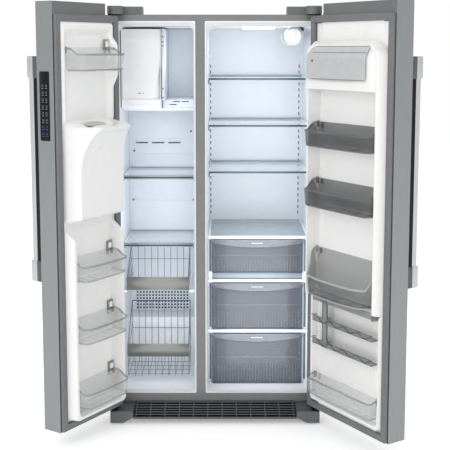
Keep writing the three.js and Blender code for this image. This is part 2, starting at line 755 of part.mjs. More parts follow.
function doorHandle() {
  const { bar, axis, foot, out, bottom, top } = HANDLE;
  const tall = top - bottom;
  const feet = [0, tall - foot].map((z) =>
    prism("z", rounded([-12, 12], [-out, -DOOR.front - GAP], [10, 10, 2, 2], 3), z, z + foot),
  );
  return join(rod("z", [0, -axis], bar, foot / 2, tall - foot / 2, 14), ...feet);
}

const CONTROLS = { v: [37, 88], z: [1258, 1531], thick: 1.4 };

function controlPanel() {
  const across = CONTROLS.v.map((v) => -v).reverse();
  return prism("x", rounded(across, CONTROLS.z, [5, 5, 5, 5], 3), GAP, GAP + CONTROLS.thick);
}

function dispenserHousing() {
  const face = -DOOR.front - GAP;
  const bezel = box(grown(ALCOVE.u, ALCOVE.bezel), [face - 2.5, face], grown(ALCOVE.z, ALCOVE.bezel));
  const well = box(grown(ALCOVE.u, -GAP), [face - 1, ALCOVE.back], grown(ALCOVE.z, -GAP));
  const hollow = box(
    grown(ALCOVE.u, -WALL - GAP),
    [face - THROUGH, ALCOVE.back - WALL],
    grown(ALCOVE.z, -WALL - GAP),
  );
  const nozzle = box(grown(CHUTE.u, 4), grown(CHUTE.bottom, 4), [ALCOVE.z[1] - 42, ALCOVE.z[1] - 1]);
  const tray = box(grown(ALCOVE.u, -2), [-98, ALCOVE.back - 1], [ALCOVE.z[0] + 1, ALCOVE.z[0] + 12]);
  const lugs = [-1, 1].map((s) => {
    const across = [PADDLE.u + s * 27, PADDLE.u + s * 37].sort((a, b) => a - b);
    return box(across, grown([PADDLE.y, PADDLE.y], 6), [PADDLE.z - 7, ALCOVE.z[1] - 1]);
  });
  const bore = rod("x", [PADDLE.y, PADDLE.z], PADDLE.axle + GAP, PADDLE.u - 33, PADDLE.u + 33);
  return cut(join(cut(join(bezel, well), hollow), nozzle, tray, ...lugs), chuteTool(), bore);
}

function dispenserPaddle() {
  const plate = prism("y", rounded([-24, 24], [-PADDLE.length, 0], [12, 12, 2, 2], 3), -1.5, 1.5);
  return join(plate, rod("x", [0, 0], PADDLE.axle, -32, 32, 8));
}

// ---------------------------------------------------------------- assembly

// The frame of a door that has swung open from the closed place described above.
function hungDoor(side, door, contents) {
  const closed = new THREE.Group();
  closed.scale.x = -side;
  closed.position.set(side * PIVOT.inset, PIVOT.ahead, 0);
  closed.add(...contents);
  const hung = new THREE.Group();
  hung.position.set(side * (SIDE - PIVOT.inset), -PIVOT.ahead, 0);
  hung.rotation.z = side * THREE.MathUtils.degToRad(door.open);
  hung.add(closed);
  return hung;
}

function freezerDoor() {
  const { width, hinge, free } = FREEZER_DOOR;
  const inner = grown([hinge, width - free], -GAP);
  const bins = [1530, 688, 432, 162].map((z, i) =>
    piece(`freezer_door_bin_${i + 1}`, "clear_plastic", doorBin(inner, 95, 70, 94), [0, 0, z]),
  );
  const foam = doorFoam(FREEZER_DOOR, freezerDoorForm);
  return hungDoor(-1, FREEZER_DOOR, [
    piece("freezer_door_skin", "stainless", cut(doorSkin(width), alcoveTool(0, -DOOR.front + THROUGH))),
    piece("freezer_door_core", "grey_plastic", cut(foam, alcoveTool(0, ALCOVE.back + GAP), chuteTool())),
    piece("freezer_door_liner", "white_plastic", cut(doorLiner(FREEZER_DOOR, freezerDoorForm), chuteTool())),
    piece("freezer_door_gasket", "gasket_rubber", gasket(width)),
    piece("freezer_door_handle", "bright_steel", doorHandle(), [width - HANDLE.inset, 0, HANDLE.bottom]),
    piece("control_panel", "black_glass", controlPanel(), [width, 0, 0]),
    piece("dispenser_housing", "black_glass", dispenserHousing()),
    piece("dispenser_paddle", "nylon", dispenserPaddle(), [PADDLE.u, PADDLE.y, PADDLE.z]),
    ...bins,
  ]);
}

const FRIDGE_BINS = [
  { name: "fridge_door_bin_1", bottom: 1218, deep: 85, front: 70, back: 100 },
  { name: "fridge_door_bin_2", bottom: 969, deep: 85, front: 74, back: 112 },
  { name: "fridge_door_bin_3", bottom: 602, deep: 100, front: 84, back: 185 },
  { name: "fridge_door_bin_4", bottom: 152, deep: 50, front: 76, back: 84 },
];

function fridgeDoor() {
  const { width, hinge, free } = FRIDGE_DOOR;
  const inner = grown([hinge, width - free], -GAP);
  const bins = FRIDGE_BINS.map(({ name, bottom, deep, front, back }) =>
    piece(name, "smoked_plastic", doorBin(inner, deep, front, back), [0, 0, bottom]),
  );
  return hungDoor(1, FRIDGE_DOOR, [
    piece("fridge_door_skin", "stainless", doorSkin(width)),
    piece("fridge_door_core", "grey_plastic", doorFoam(FRIDGE_DOOR, fridgeDoorForm)),
    piece("fridge_door_liner", "white_plastic", doorLiner(FRIDGE_DOOR, fridgeDoorForm)),
    piece("fridge_door_gasket", "gasket_rubber", gasket(width)),
    piece("fridge_door_handle", "bright_steel", doorHandle(), [width - HANDLE.inset, 0, HANDLE.bottom]),
    piece("dairy_housing", "white_plastic", dairyHousing()),
    piece("dairy_cover", "smoked_plastic", dairyCover(), [DAIRY.u[0] + 3, DAIRY.deep + GAP, DAIRY.cover[1]]),
    piece("can_rack", "smoked_plastic", canRack()),
    ...bins,
  ]);
}

// Hardware that is the same on both sides, mirrored across the case.
function mirroredPair(name, finish, solid) {
  const left = piece(`${name}_left`, finish, solid);
  const right = piece(`${name}_right`, finish, solid);
  right.scale.x = -1;
  return [left, right];
}

function caseAssembly() {
  const legs = [-1, 1].map((s) =>
    piece(`levelling_leg_${s < 0 ? "left" : "right"}`, "nylon", levellingLeg(), [s * LEG.x, LEG.y, 0]),
  );
  return [
    piece("cabinet_wrapper", "case_paint", cabinetWrapper()),
    piece("back_panel", "zinc", backPanel()),
    piece("insulation_foam", "foam", insulationFoam()),
    piece("freezer_liner", "white_plastic", freezerLiner()),
    piece("fridge_liner", "white_plastic", fridgeLiner()),
    piece("base_frame", "zinc", baseFrame()),
    piece("rear_rollers", "nylon", rearRollers(), [0, AXLE.y, AXLE.z]),
    piece("toe_grille", "grey_plastic", toeGrille()),
    piece("compressor", "black_steel", compressor(), [270, 490, PLATE.top + GAP]),
    piece("condenser_coil", "copper", serpentine([-420, -80], PLATE.top + GAP, 8, 30, 7), [0, 540, 0]),
    piece("condenser_fan", "nylon", condenserFan(), [FAN.x, FAN.y, FAN.z]),
    ...legs,
    ...mirroredPair("top_hinge", "black_steel", topHinge()),
    ...mirroredPair("hinge_cover", "grey_plastic", hingeCover()),
    ...mirroredPair("bottom_hinge", "black_steel", bottomHinge()),
  ];
}

function freezerContents() {
  return [
    piece("evaporator_cover", "white_plastic", evaporatorCover()),
    piece("evaporator_coil", "zinc", serpentine([-400, -110], 400, 10, 45, 9), [0, INSIDE.back - 9 - GAP, 0]),
    piece("ice_maker", "grey_plastic", iceMaker()),
    piece("ice_bin", "white_plastic", iceBin()),
    piece("ice_auger", "bright_steel", iceAuger(), [-325, ICE_BIN.y[0] + 10 + GAP, 1398]),
    piece("freezer_shelf_upper", "shelf_glass", freezerShelf(), [0, 0, 1052]),
    piece("freezer_shelf_lower", "shelf_glass", freezerShelf(), [0, 0, 744]),
    piece("freezer_basket_upper", "basket_wire", wireBasket(172, 0), [0, 0, BASKETS.upper]),
    piece("freezer_basket_lower", "basket_wire", wireBasket(298, 94), [0, 0, BASKETS.lower]),
  ];
}

function fridgeContents() {
  const shelves = [1489, 1282, 1074].map((z, i) =>
    piece(`glass_shelf_${i + 1}`, "shelf_glass", glassShelf(), [0, 0, z]),
  );
  const drawers = [
    { bottom: DECKS.second[1] + GAP, height: 154, back: 500 },
    { bottom: DECKS.third[1] + GAP, height: 214, back: 500 },
    { bottom: INSIDE.floor + GAP, height: 233, back: 342 },
  ].map(({ bottom, height, back }, i) =>
    piece(`crisper_drawer_${i + 1}`, "drawer_plastic", crisperDrawer(height, back), [0, 0, bottom]),
  );
  return [
    ...shelves,
    piece("crisper_frame", "white_plastic", crisperFrame()),
    ...drawers,
    piece("water_filter", "white_plastic", waterFilter(), [FILTER.x, FILTER.front, FILTER.z]),
  ];
}

const refrigerator = new THREE.Group();
refrigerator.add(...caseAssembly(), ...freezerContents(), ...fridgeContents(), freezerDoor(), fridgeDoor());
refrigerator.position.set(PLACE.x, PLACE.y, 0);

export default refrigerator;
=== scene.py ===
"""The looks of a side by side refrigerator with both doors open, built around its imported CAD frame.

Sizes are millimetres in one of three local frames. CASE has x = 0 at the middle of the case and y = 0 at its
front. Each closed door has its own: x runs from the hinge side to the free side, y = 0 is the case's front
and +y points into the case. Each piece is written in its local frame and baked to where the open door is.
"""

import json
import math

import bmesh
import bpy
import numpy as np
from mathutils import Matrix, Vector


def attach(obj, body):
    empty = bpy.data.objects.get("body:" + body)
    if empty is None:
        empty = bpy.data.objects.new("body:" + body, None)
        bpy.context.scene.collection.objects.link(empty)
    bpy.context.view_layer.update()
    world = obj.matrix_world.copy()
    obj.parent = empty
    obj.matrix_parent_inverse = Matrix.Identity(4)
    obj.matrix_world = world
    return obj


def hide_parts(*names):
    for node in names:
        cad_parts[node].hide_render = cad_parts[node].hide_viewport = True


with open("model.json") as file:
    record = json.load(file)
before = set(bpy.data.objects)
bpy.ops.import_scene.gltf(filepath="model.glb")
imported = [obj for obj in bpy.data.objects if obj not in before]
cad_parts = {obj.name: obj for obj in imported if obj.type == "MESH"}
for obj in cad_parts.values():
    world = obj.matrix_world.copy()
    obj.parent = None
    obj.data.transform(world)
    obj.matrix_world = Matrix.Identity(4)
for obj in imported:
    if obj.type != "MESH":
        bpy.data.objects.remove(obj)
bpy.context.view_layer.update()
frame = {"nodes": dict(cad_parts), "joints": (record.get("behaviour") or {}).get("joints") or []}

# ---- frames

MM = 0.001
PLACE = Vector((-0.033, -0.062, 0.0))
CASE = Matrix.Translation(PLACE) @ Matrix.Scale(MM, 4)
PIVOT_X, PIVOT_Y = 12.2, 45.0  # hinge pin, from the door's hinge edge and ahead of the case


def door_frame(joint_name, side):
    """The matrix that takes a closed door's local millimetres to where the open door is."""
    joint = next(j for j in frame["joints"] if j["name"] == joint_name)
    opened = math.radians(-joint["range_deg"][0])
    pin = Vector((joint["pos_m"][0], joint["pos_m"][1], 0.0))
    swing = Matrix.Translation(pin) @ Matrix.Rotation(side * opened, 4, "Z")
    mirror = Matrix.Diagonal((-side, 1, 1, 1))
    return swing @ Matrix.Scale(MM, 4) @ mirror @ Matrix.Translation((-PIVOT_X, PIVOT_Y, 0))


FREEZER, FRIDGE = "freezer_door", "fridge_door"
PLACES = {FREEZER: door_frame("freezer_door_hinge", -1), FRIDGE: door_frame("fridge_door_hinge", 1)}
WIDTHS = {FREEZER: 388.5, FRIDGE: 514.5}

# ---- materials

MATERIALS = {}


def linear(rgb):
    """A display colour from 0 to 255 as the shader's linear colour."""
    shares = [c / 255 for c in rgb]
    return [c / 12.92 if c < 0.04045 else ((c + 0.055) / 1.055) ** 2.4 for c in shares] + [1.0]


def noise(tree, vector, scale, detail):
    """A noise pattern from 0 to 1 over a vector."""
    node = tree.nodes.new("ShaderNodeTexNoise")
    node.inputs["Scale"].default_value = scale
    node.inputs["Detail"].default_value = detail
    tree.links.new(vector, node.inputs["Vector"])
    return node.outputs["Fac"]


def between(tree, value, low, high):
    """A value from 0 to 1 carried to the range from low to high."""
    node = tree.nodes.new("ShaderNodeMapRange")
    node.inputs["To Min"].default_value = low
    node.inputs["To Max"].default_value = high
    tree.links.new(value, node.inputs["Value"])
    return node.outputs["Result"]


def tinted(tree, value, colour, vary):
    """A colour that goes from a little darker to a little lighter with a value from 0 to 1."""
    node = tree.nodes.new("ShaderNodeValToRGB")
    for stop, position, factor in zip(node.color_ramp.elements, (0.3, 0.7), (1 - vary, 1 + vary)):
        stop.position = position
        stop.color = [min(1.0, c * factor) for c in colour[:3]] + [1.0]
    tree.links.new(value, node.inputs["Fac"])
    return node.outputs["Color"]


def relief(tree, height, strength):
    """The normals of a fine relief, 0.4 mm deep at full strength."""
    node = tree.nodes.new("ShaderNodeBump")
    node.inputs["Strength"].default_value = strength
    node.inputs["Distance"].default_value = 0.4 * MM
    tree.links.new(height, node.inputs["Height"])
    return node.outputs["Normal"]


def surface(name, rgb, rough, metal=0.0, vary=0.04, spread=0.06, scale=30.0, stretch=(1, 1, 1), bump=0.0,
            bump_scale=600.0, glassy=None, **others):
    """Adds a material whose colour, roughness and relief come from noise.

    vary and spread are how far its colour and roughness stray, scale and stretch set the pattern, and glassy
    is its alpha seen face on and edge on. others are further sockets of the shader.
    """
    mat = bpy.data.materials.new(name)
    mat.use_nodes = True
    tree = mat.node_tree
    sockets = tree.nodes["Principled BSDF"].inputs
    sockets["Metallic"].default_value = metal
    for key, value in others.items():
        sockets[key.replace("_", " ")].default_value = value
    place = tree.nodes.new("ShaderNodeTexCoord")
    mapping = tree.nodes.new("ShaderNodeMapping")
    mapping.inputs["Scale"].default_value = stretch
    tree.links.new(place.outputs["Object"], mapping.inputs["Vector"])
    vector = mapping.outputs["Vector"]
    patches = noise(tree, vector, scale, 4.0)
    tree.links.new(tinted(tree, patches, linear(rgb), vary), sockets["Base Color"])
    tree.links.new(between(tree, patches, max(0.02, rough - spread), rough + spread), sockets["Roughness"])
    if bump:
        tree.links.new(relief(tree, noise(tree, vector, bump_scale, 2.0), bump), sockets["Normal"])
    if glassy:
        rim = tree.nodes.new("ShaderNodeLayerWeight")
        rim.inputs["Blend"].default_value = 0.35
        tree.links.new(between(tree, rim.outputs["Facing"], *glassy), sockets["Alpha"])
    MATERIALS[name] = mat


def see_through(name, rgb, rough, face_on, edge_on, spread=0.03):
    """Adds a clear or smoked material, given its alpha seen face on and edge on."""
    surface(name, rgb, rough, spread=spread, glassy=(face_on, edge_on))


BRUSHED = (60, 60, 1)  # stretches a pattern along z

surface("paint", (127, 128, 128), 0.42, 0.3, bump=0.25, bump_scale=900)
surface("stainless", (142, 145, 146), 0.34, 0.85, 0.06, 0.08, 9, BRUSHED, 0.15, 40)
surface("handle", (186, 188, 190), 0.3, 0.9, 0.08, 0.08, 9, BRUSHED, 0.12, 40)
surface("bracket", (92, 94, 96), 0.4, 0.6, 0.06, 0.08, 9, BRUSHED, 0.12, 40)
surface("bright", (180, 182, 184), 0.3, 0.95, 0.06, 0.08, 9, BRUSHED, 0.12, 40)
surface("cap", (104, 107, 109), 0.45, 0.15, bump=0.3)
surface("grille", (92, 94, 95), 0.5, 0.1, bump=0.35)
surface("louvre", (112, 114, 115), 0.5, 0.1, bump=0.2)
# painted shade: the near black of the plate behind the toe grille
surface("dark", (14, 15, 16), 0.8, vary=0.1, Specular_IOR_Level=0.0)
surface("black", (22, 23, 25), 0.5, bump=0.2, Specular_IOR_Level=0.15)
surface("door_white", (235, 235, 233), 0.3, vary=0.012, bump=0.12, Coat_Weight=0.15)
surface("case_white", (230, 234, 239), 0.32, vary=0.012, bump=0.12, Coat_Weight=0.15)
surface("lip_white", (246, 247, 248), 0.3, vary=0.01, bump=0.1)
surface("panel_white", (224, 230, 237), 0.38, vary=0.015, bump=0.15)
surface("bin_white", (243, 243, 244), 0.3, vary=0.015, bump=0.1, Coat_Weight=0.2)
surface("gasket", (110, 112, 114), 0.65, vary=0.05, bump=0.4, bump_scale=300)
# painted shade: the grey of the disc that stands for the shaded far wall of the chute's bowl
surface("bowl_shade", (188, 189, 188), 0.6, vary=0.08, bump=0.3)
# painted shade in the gap round each door's gasket and in the holes of the freezer's back cover; also the own
# dark colour of the bin hooks and the dairy lid's button
surface("dark_parts_and_gap_shade", (48, 50, 53), 0.7, vary=0.1)
# painted shade in the vents of the back cover and the openings of the shelf ladders; also the colour of small
# dark marks and fixings
surface("slot_shade_and_dark_marks", (70, 80, 92), 0.6, vary=0.08)
surface("trim", (128, 132, 136), 0.3, 0.4, bump=0.1)
surface("edge", (66, 78, 90), 0.2, vary=0.08)
surface("far_edge", (150, 162, 174), 0.25, vary=0.05)
surface("bar", (101, 102, 99), 0.36, 0.45, 0.03, 0.05, 12, (1, 60, 60), 0.1, 60)
surface("wire", (112, 117, 124), 0.35, 0.3, vary=0.05)
surface("rail", (236, 240, 246), 0.3, vary=0.012)
see_through("glass", (226, 238, 244), 0.06, 0.1, 0.45, 0.02)
see_through("deck", (186, 200, 209), 0.08, 0.55, 0.85, 0.02)
see_through("clear", (206, 209, 210), 0.1, 0.06, 0.4)
see_through("clear_rim", (140, 143, 145), 0.14, 0.3, 0.78)
see_through("smoke", (104, 107, 108), 0.1, 0.13, 0.5)
see_through("dark_smoke", (74, 77, 79), 0.1, 0.23, 0.59)
see_through("smoke_rim", (104, 107, 108), 0.14, 0.5, 0.88)
see_through("light_rim", (178, 182, 182), 0.14, 0.6, 0.9)
see_through("rack", (140, 143, 143), 0.12, 0.62, 0.85)
surface("wire_dark", (58, 60, 62), 0.3, vary=0.06)
see_through("flap", (202, 203, 204), 0.14, 0.72, 0.92)
see_through("flap_edge", (150, 152, 153), 0.16, 0.6, 0.9)
see_through("drawer", (108, 113, 121), 0.1, 0.62, 0.85)
see_through("drawer_band", (142, 147, 155), 0.16, 0.55, 0.82)
see_through("drawer_post", (92, 106, 122), 0.2, 0.7, 0.95)
surface("label", (184, 187, 191), 0.4, vary=0.01)
surface("black_glass", (10, 11, 13), 0.2, vary=0.1, spread=0.05, Specular_IOR_Level=0.2)
surface("icon", (150, 158, 168), 0.5, vary=0.02)
surface("icon_blue", (70, 110, 190), 0.5, vary=0.02)
surface("screw", (104, 107, 110), 0.4, 0.6, bump=0.1)
surface("zinc", (172, 176, 180), 0.42, 0.8, 0.05, 0.08, 45, bump=0.15)
surface("copper", (184, 116, 82), 0.34, 0.9, 0.12, 0.1, 30)
surface("foam", (226, 214, 170), 0.9, vary=0.08, bump=0.9, bump_scale=260)
surface("nylon", (52, 54, 58), 0.55, vary=0.1, bump=0.4)
surface("floor_white", (250, 250, 250), 0.6, vary=0.004, Emission_Color=(1, 1, 1, 1), Emission_Strength=0.3)
surface("lens", (250, 251, 253), 0.3, vary=0.01, Emission_Color=(0.9, 0.95, 1, 1), Emission_Strength=1.5)

# ---- geometry


class Shape:
    """Collects vertices and faces in local millimetres; each face keeps the number of its material."""

    def __init__(self):
        self.verts, self.faces, self.kinds = [], [], []

    def add(self, verts, faces, kind=0):
        """Vertices, and faces that number them from 0; kind is one number or a list of one per face."""
        start = len(self.verts)
        self.verts += [tuple(v) for v in verts]
        self.faces += [tuple(start + i for i in f) for f in faces]
        self.kinds += kind if isinstance(kind, list) else [kind] * len(faces)
        return self

    def loft(self, rings, kind=0, caps=(True, True), kinds=None):
        """Closed rings of equal length joined by quads; kinds gives each band its own material."""
        n, last = len(rings[0]), len(rings) - 1
        points = [p for ring in rings for p in ring]
        quads, quad_kinds = [], []
        for band in range(last):
            near, far = band * n, (band + 1) * n
            quads += [(near + i, near + (i + 1) % n, far + (i + 1) % n, far + i) for i in range(n)]
            quad_kinds += [kinds[band] if kinds else kind] * n
        if caps[0]:
            quads.append(tuple(reversed(range(n))))
            quad_kinds.append(kind)
        if caps[1]:
            quads.append(tuple(range(last * n, last * n + n)))
            quad_kinds.append(kind)
        return self.add(points, quads, quad_kinds)

    def block(self, x, y, z, radius=1.0, kind=0):
        """A box whose edges are rounded off."""
        bm = bmesh.new()
        bmesh.ops.create_cube(bm, size=1.0)
        for v in bm.verts:
            v.co = [a[0] + (a[1] - a[0]) * (c + 0.5) for a, c in zip((x, y, z), v.co)]
        offset = min(radius, 0.45 * min(a[1] - a[0] for a in (x, y, z)))
        bmesh.ops.bevel(bm, geom=bm.edges[:], offset=offset, segments=2, profile=0.5, affect="EDGES")
        bm.verts.index_update()
        self.add([v.co[:] for v in bm.verts], [[v.index for v in f.verts] for f in bm.faces], kind)
        bm.free()
        return self

    def sweep(self, path, radius, sides=8, closed=False, kind=0):
        """A round wire along a path of points."""
        points = [Vector(p) for p in path]
        count = len(points)
        rings = []
        side = None
        for i, point in enumerate(points):
            ahead = points[(i + 1) % count] if closed or i < count - 1 else point
            behind = points[i - 1] if closed or i > 0 else point
            along = (ahead - behind).normalized()
            if side is None:
                side = along.orthogonal().normalized()
            side = (side - along * side.dot(along)).normalized()
            other = along.cross(side)
            angles = [2 * math.pi * k / sides for k in range(sides)]
            rings.append([point + radius * (side * math.cos(a) + other * math.sin(a)) for a in angles])
        if closed:
            rings.append(rings[0])
        return self.loft(rings, kind, (not closed, not closed))

    def sheet(self, xs, zs, height, facing, kind=0, dip=None):
        """A surface whose y is a function of x and z; facing is the sign of y that its front looks to."""
        grid_x, grid_z = np.meshgrid(xs, zs, indexing="ij")
        y = height(grid_x, grid_z)
        if dip:
            grid_z = grid_z - dip(grid_x, y, grid_z)
        rows = len(zs)
        verts = np.stack([grid_x, y, grid_z], axis=-1).reshape(-1, 3)
        quads = []
        for i in range(len(xs) - 1):
            for j in range(rows - 1):
                quad = (i * rows + j, (i + 1) * rows + j, (i + 1) * rows + j + 1, i * rows + j + 1)
                quads.append(quad if facing < 0 else quad[::-1])
        return self.add(verts.tolist(), quads, kind)

    def disc(self, centre, radius, depth, upright=False, kind=0, crown=0.0):
        """A round button along y, or z if upright, with a softened edge and a crowned face."""
        x, y, z = centre
        rings = []
        steps = ((0, 1.0), (0.75, 1.0), (1.0, 0.86), (1.0 + crown, 0.45), (1.0 + crown * 1.2, 0.05))
        for share, width in steps:
            rise = share * depth
            loop = ellipse((0, 0), (radius * width, radius * width), 24)
            rings.append([(x + a, y + b, z + rise) if upright else (x + a, y + rise, z + b) for a, b in loop])
        return self.loft(rings, kind)


def corner(centre, radius, start, steps=6):
    """Points along a quarter circle that starts at an angle in degrees."""
    angles = [math.radians(start + 90 * k / steps) for k in range(steps + 1)]
    return [(centre[0] + radius * math.cos(a), centre[1] + radius * math.sin(a)) for a in angles]


def rounded(x, z, radius, steps=6):
    """Points round a rectangle with rounded corners."""
    (left, right), (low, high) = inset(x, radius), inset(z, radius)
    corners = (((right, low), -90), ((right, high), 0), ((left, high), 90), ((left, low), 180))
    return [point for centre, start in corners for point in corner(centre, radius, start, steps)]


def inset(span, by):
    """A range drawn in by the same amount at both ends."""
    return (span[0] + by, span[1] - by)


def ellipse(centre, radii, count=16):
    """Points evenly round an ellipse."""
    angles = np.linspace(0, 2 * math.pi, count + 1)[:-1]
    return [(centre[0] + radii[0] * math.cos(a), centre[1] + radii[1] * math.sin(a)) for a in angles]


def ramp(value, low, high):
    """0 below low, 1 above high, and a smooth rise between."""
    t = np.clip((value - low) / (high - low), 0, 1)
    return t * t * (3 - 2 * t)


def add_object(name, data):
    """A new object in the scene."""
    obj = bpy.data.objects.new(name, data)
    bpy.context.scene.collection.objects.link(obj)
    return obj


def piece(name, shape, mats, where, body, replaced=None, crease=38, solid=True):
    """Puts a shape in place as an object that rides a body and may stand in for a CAD node.

    mats are the materials of its kinds, edges over crease degrees are sharp, and only a solid's faces are
    turned outwards.
    """
    mesh = bpy.data.meshes.new(name)
    mesh.from_pydata(shape.verts, [], shape.faces)
    for mat in mats:
        mesh.materials.append(MATERIALS[mat])
    mesh.polygons.foreach_set("material_index", shape.kinds)
    mesh.transform(where)
    if where.determinant() < 0:
        mesh.flip_normals()
    if solid:
        bm = bmesh.new()
        bm.from_mesh(mesh)
        bmesh.ops.recalc_face_normals(bm, faces=bm.faces[:])
        bm.to_mesh(mesh)
        bm.free()
    mesh.polygons.foreach_set("use_smooth", [True] * len(mesh.polygons))
    mesh.set_sharp_from_angle(angle=math.radians(crease))
    obj = add_object(name, mesh)
    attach(obj, body)
    if replaced:
        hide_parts(replaced)


def case_piece(name, shape, mats, replaced=None, solid=True):
    """A piece that stands still with the case."""
    piece(name, shape, mats, CASE, "cabinet", replaced, solid=solid)


def door_piece(door, name, shape, mats, replaced=None, solid=True):
    """A piece that swings with a door."""
    piece(name, shape, mats, PLACES[door], door, replaced, solid=solid)


def finish_node(name, mat, bevel=0.0, segments=2):
    """Gives a CAD node its material and rounds its edges off by a bevel in millimetres."""
    obj = frame["nodes"][name]
    obj.data.materials.clear()
    obj.data.materials.append(MATERIALS[mat])
    if bevel:
        weld = obj.modifiers.new("weld", "WELD")
        weld.merge_threshold = 0.05 * MM
        soften = obj.modifiers.new("soften", "BEVEL")
        soften.width = bevel * MM
        soften.segments = segments
        soften.limit_method = "ANGLE"
        soften.angle_limit = math.radians(35)
        flatten = obj.modifiers.new("flatten", "WEIGHTED_NORMAL")
        flatten.weight = 100


# ---- case


def compartment(name, mouth, walls):
    """A moulded liner: a flat lip round the mouth, then walls that draw in to the rounded inside."""
    stations = [  # depth, x range, z range, corner radius
        (6, mouth, (100, 1735), 4),
        (0.6, mouth, (100, 1735), 4),
        (0, inset(mouth, 1.5), (101.5, 1733.5), 5),
        (0, inset(mouth, 3.5), (103, 1731), 8),
        (3, inset(mouth, 4.5), (103.5, 1729), 10),
        (16, inset(walls, -1), (103.8, 1714), 24),
        *((depth, walls, (104, 1712), 26) for depth in (60, 300, 545)),
        (554, inset(walls, 8), (112, 1704), 18),
    ]
    rings = [[(x, y, z) for x, z in rounded(xs, zs, radius)] for y, xs, zs, radius in stations]
    lip = [1, 1, 1, 1, 0, 0, 0, 0, 0]
    shape = Shape().loft([ring[::-1] for ring in rings], caps=(False, True), kinds=lip)
    case_piece(f"{name}_moulding", shape, ["case_white", "lip_white"], replaced=name, solid=False)


def raised_floor(walls):
    """The step at the back of a compartment's floor, over the machine compartment."""
    return Shape().block(walls, (350, 556), (103, 345), 2.5)


def freezer_interior():
    """The freezer compartment and what stands in it."""
    walls = (-416, -93)
    compartment("freezer_liner", (-424, -83), walls)
    shape = raised_floor(walls)
    for x in ((-417, -399.5), (-117.5, -92)):
        shape.block(x, (116, 460), (526, 536), 4)
    case_piece("freezer_runners", shape, ["case_white"])
    back_wall()
    ice_maker_bin()
    ice_maker_rail()
    for name, top in (("upper", 1052), ("lower", 744)):
        freezer_shelf(name, top)
    wire_basket("upper", 538, 173, 0)
    wire_basket("lower", 135, 298, 94)


def back_wall():
    """The freezer's back cover: a ribbed panel with vents, a joint line, screws and a grid of holes; vents
    and holes are dark blocks of painted shade.
    """
    y, width, panel = 469.6, (-415.7, -93.3), (-404, -104)
    slot_shade_and_dark_marks, screw, hole = 1, 2, 3
    shape = Shape().block(width, (y + 0.4, y + 2.9), (346, 1711), 0.6)
    for z in range(1085, 960, -14):
        shape.block((-396, -112), (y - 0.6, y + 1), (z, z + 7), 0.8)
    for z in ((902, 1118), (500, 890), (1190, 1335)):
        shape.block(panel, (y - 2, y + 1), z, 3)
    shape.block(width, (200, y + 1), (1341, 1356), 3)
    shape.block((-235, width[1]), (200, y + 1), (1355, 1391), 5)
    for x in (-398, -374):
        shape.block((x, x + 2), (y - 3, y), (360, 1330), 0.8)
    # dark blocks: painted shade in the vents
    for x in (-384, -306, -228):
        shape.block((x, x + 58), (y - 2.6, y), (1168, 1174), 1, kind=slot_shade_and_dark_marks)
    # a grid of dark blocks: painted shade in the cover's holes
    for z in np.linspace(356, 479.2, 9):
        for x in np.linspace(-388, -144.8, 17):
            shape.block((x, x + 8.5), (y - 1.2, y), (z, z + 8.5), 0.4, kind=hole)
    # dark blocks: painted shade in the vents over the shelf
    for x, z in ((-205, 1370), (-190, 1384), (-150, 1384)):
        shape.block((x, x + 32), (198.6, 201), (z - 3, z + 1), 0.8, kind=slot_shade_and_dark_marks)
    for x, z in ((-392, 1132), (-120, 1226), (-398, 895), (-108, 895)):
        shape.disc((x, y - 2, z), 5, -2.2, kind=screw)
    case_piece("freezer_back_cover", shape, ["panel_white", "slot_shade_and_dark_marks", "screw", "dark_parts_and_gap_shade"],
               replaced="evaporator_cover")


def ice_bin_front(x, z):
    """Depth of the ice bin's front: a soft crown, a shoulder on its right and a step over its lip."""
    edge = -278 + 26 * ramp(z, 1420, 1520)
    shoulder = 10 * ramp(x, edge, -240) * ramp(z, 1396, 1404) * (1 - ramp(z, 1480, 1600))
    step = 7 * ramp(z, 1394, 1401) - 4 * ramp(z, 1646, 1662)
    crown = 6 * (1 - ((x + 325) / 87) ** 2)
    lip = 3 * (1 - ramp(z, 1370, 1380))
    return 123 + shoulder + step * 0.7 - crown - lip


def ice_maker_bin():
    """A tall tub whose front is moulded in a soft wave above a straight lip."""
    x, back, low, rim, high = (-412, -238), 452, 1356.3, 1540, 1704
    shape = Shape().sheet(np.linspace(*x, 60), np.linspace(low, high, 120), ice_bin_front, -1)
    for side in ((-412, -409.5), (-240.5, -238)):
        shape.block(side, (124, back), (low, rim), 1)
        shape.block(side, (120, 150), (low, high), 1)
    shape.block(x, (120, 124), (high - 4, high), 1)
    shape.block(x, (118, back), (low, low + 3), 1)
    shape.block(x, (back - 3, back), (low, rim), 1)
    for mark in ((-338, -326), (-318, -314)):
        shape.block(mark, (113.4, 118), (1422, 1425), 0.8, kind=1)
    piece("ice_bin_tub", shape, ["bin_white", "slot_shade_and_dark_marks"], CASE, "ice_bin", "ice_bin",
          solid=False)


def ice_maker_rail():
    """The upright strip beside the ice bin with its row of small fixings."""
    shape = Shape().block((-236, -224), (132, 468), (1392, 1706), 2)
    for z in (1400, 1440, 1628, 1645, 1668):
        shape.block((-233, -227), (130.8, 133), (z, z + 6), 0.8, kind=1)
    case_piece("ice_maker_rail", shape, ["panel_white", "slot_shade_and_dark_marks"])


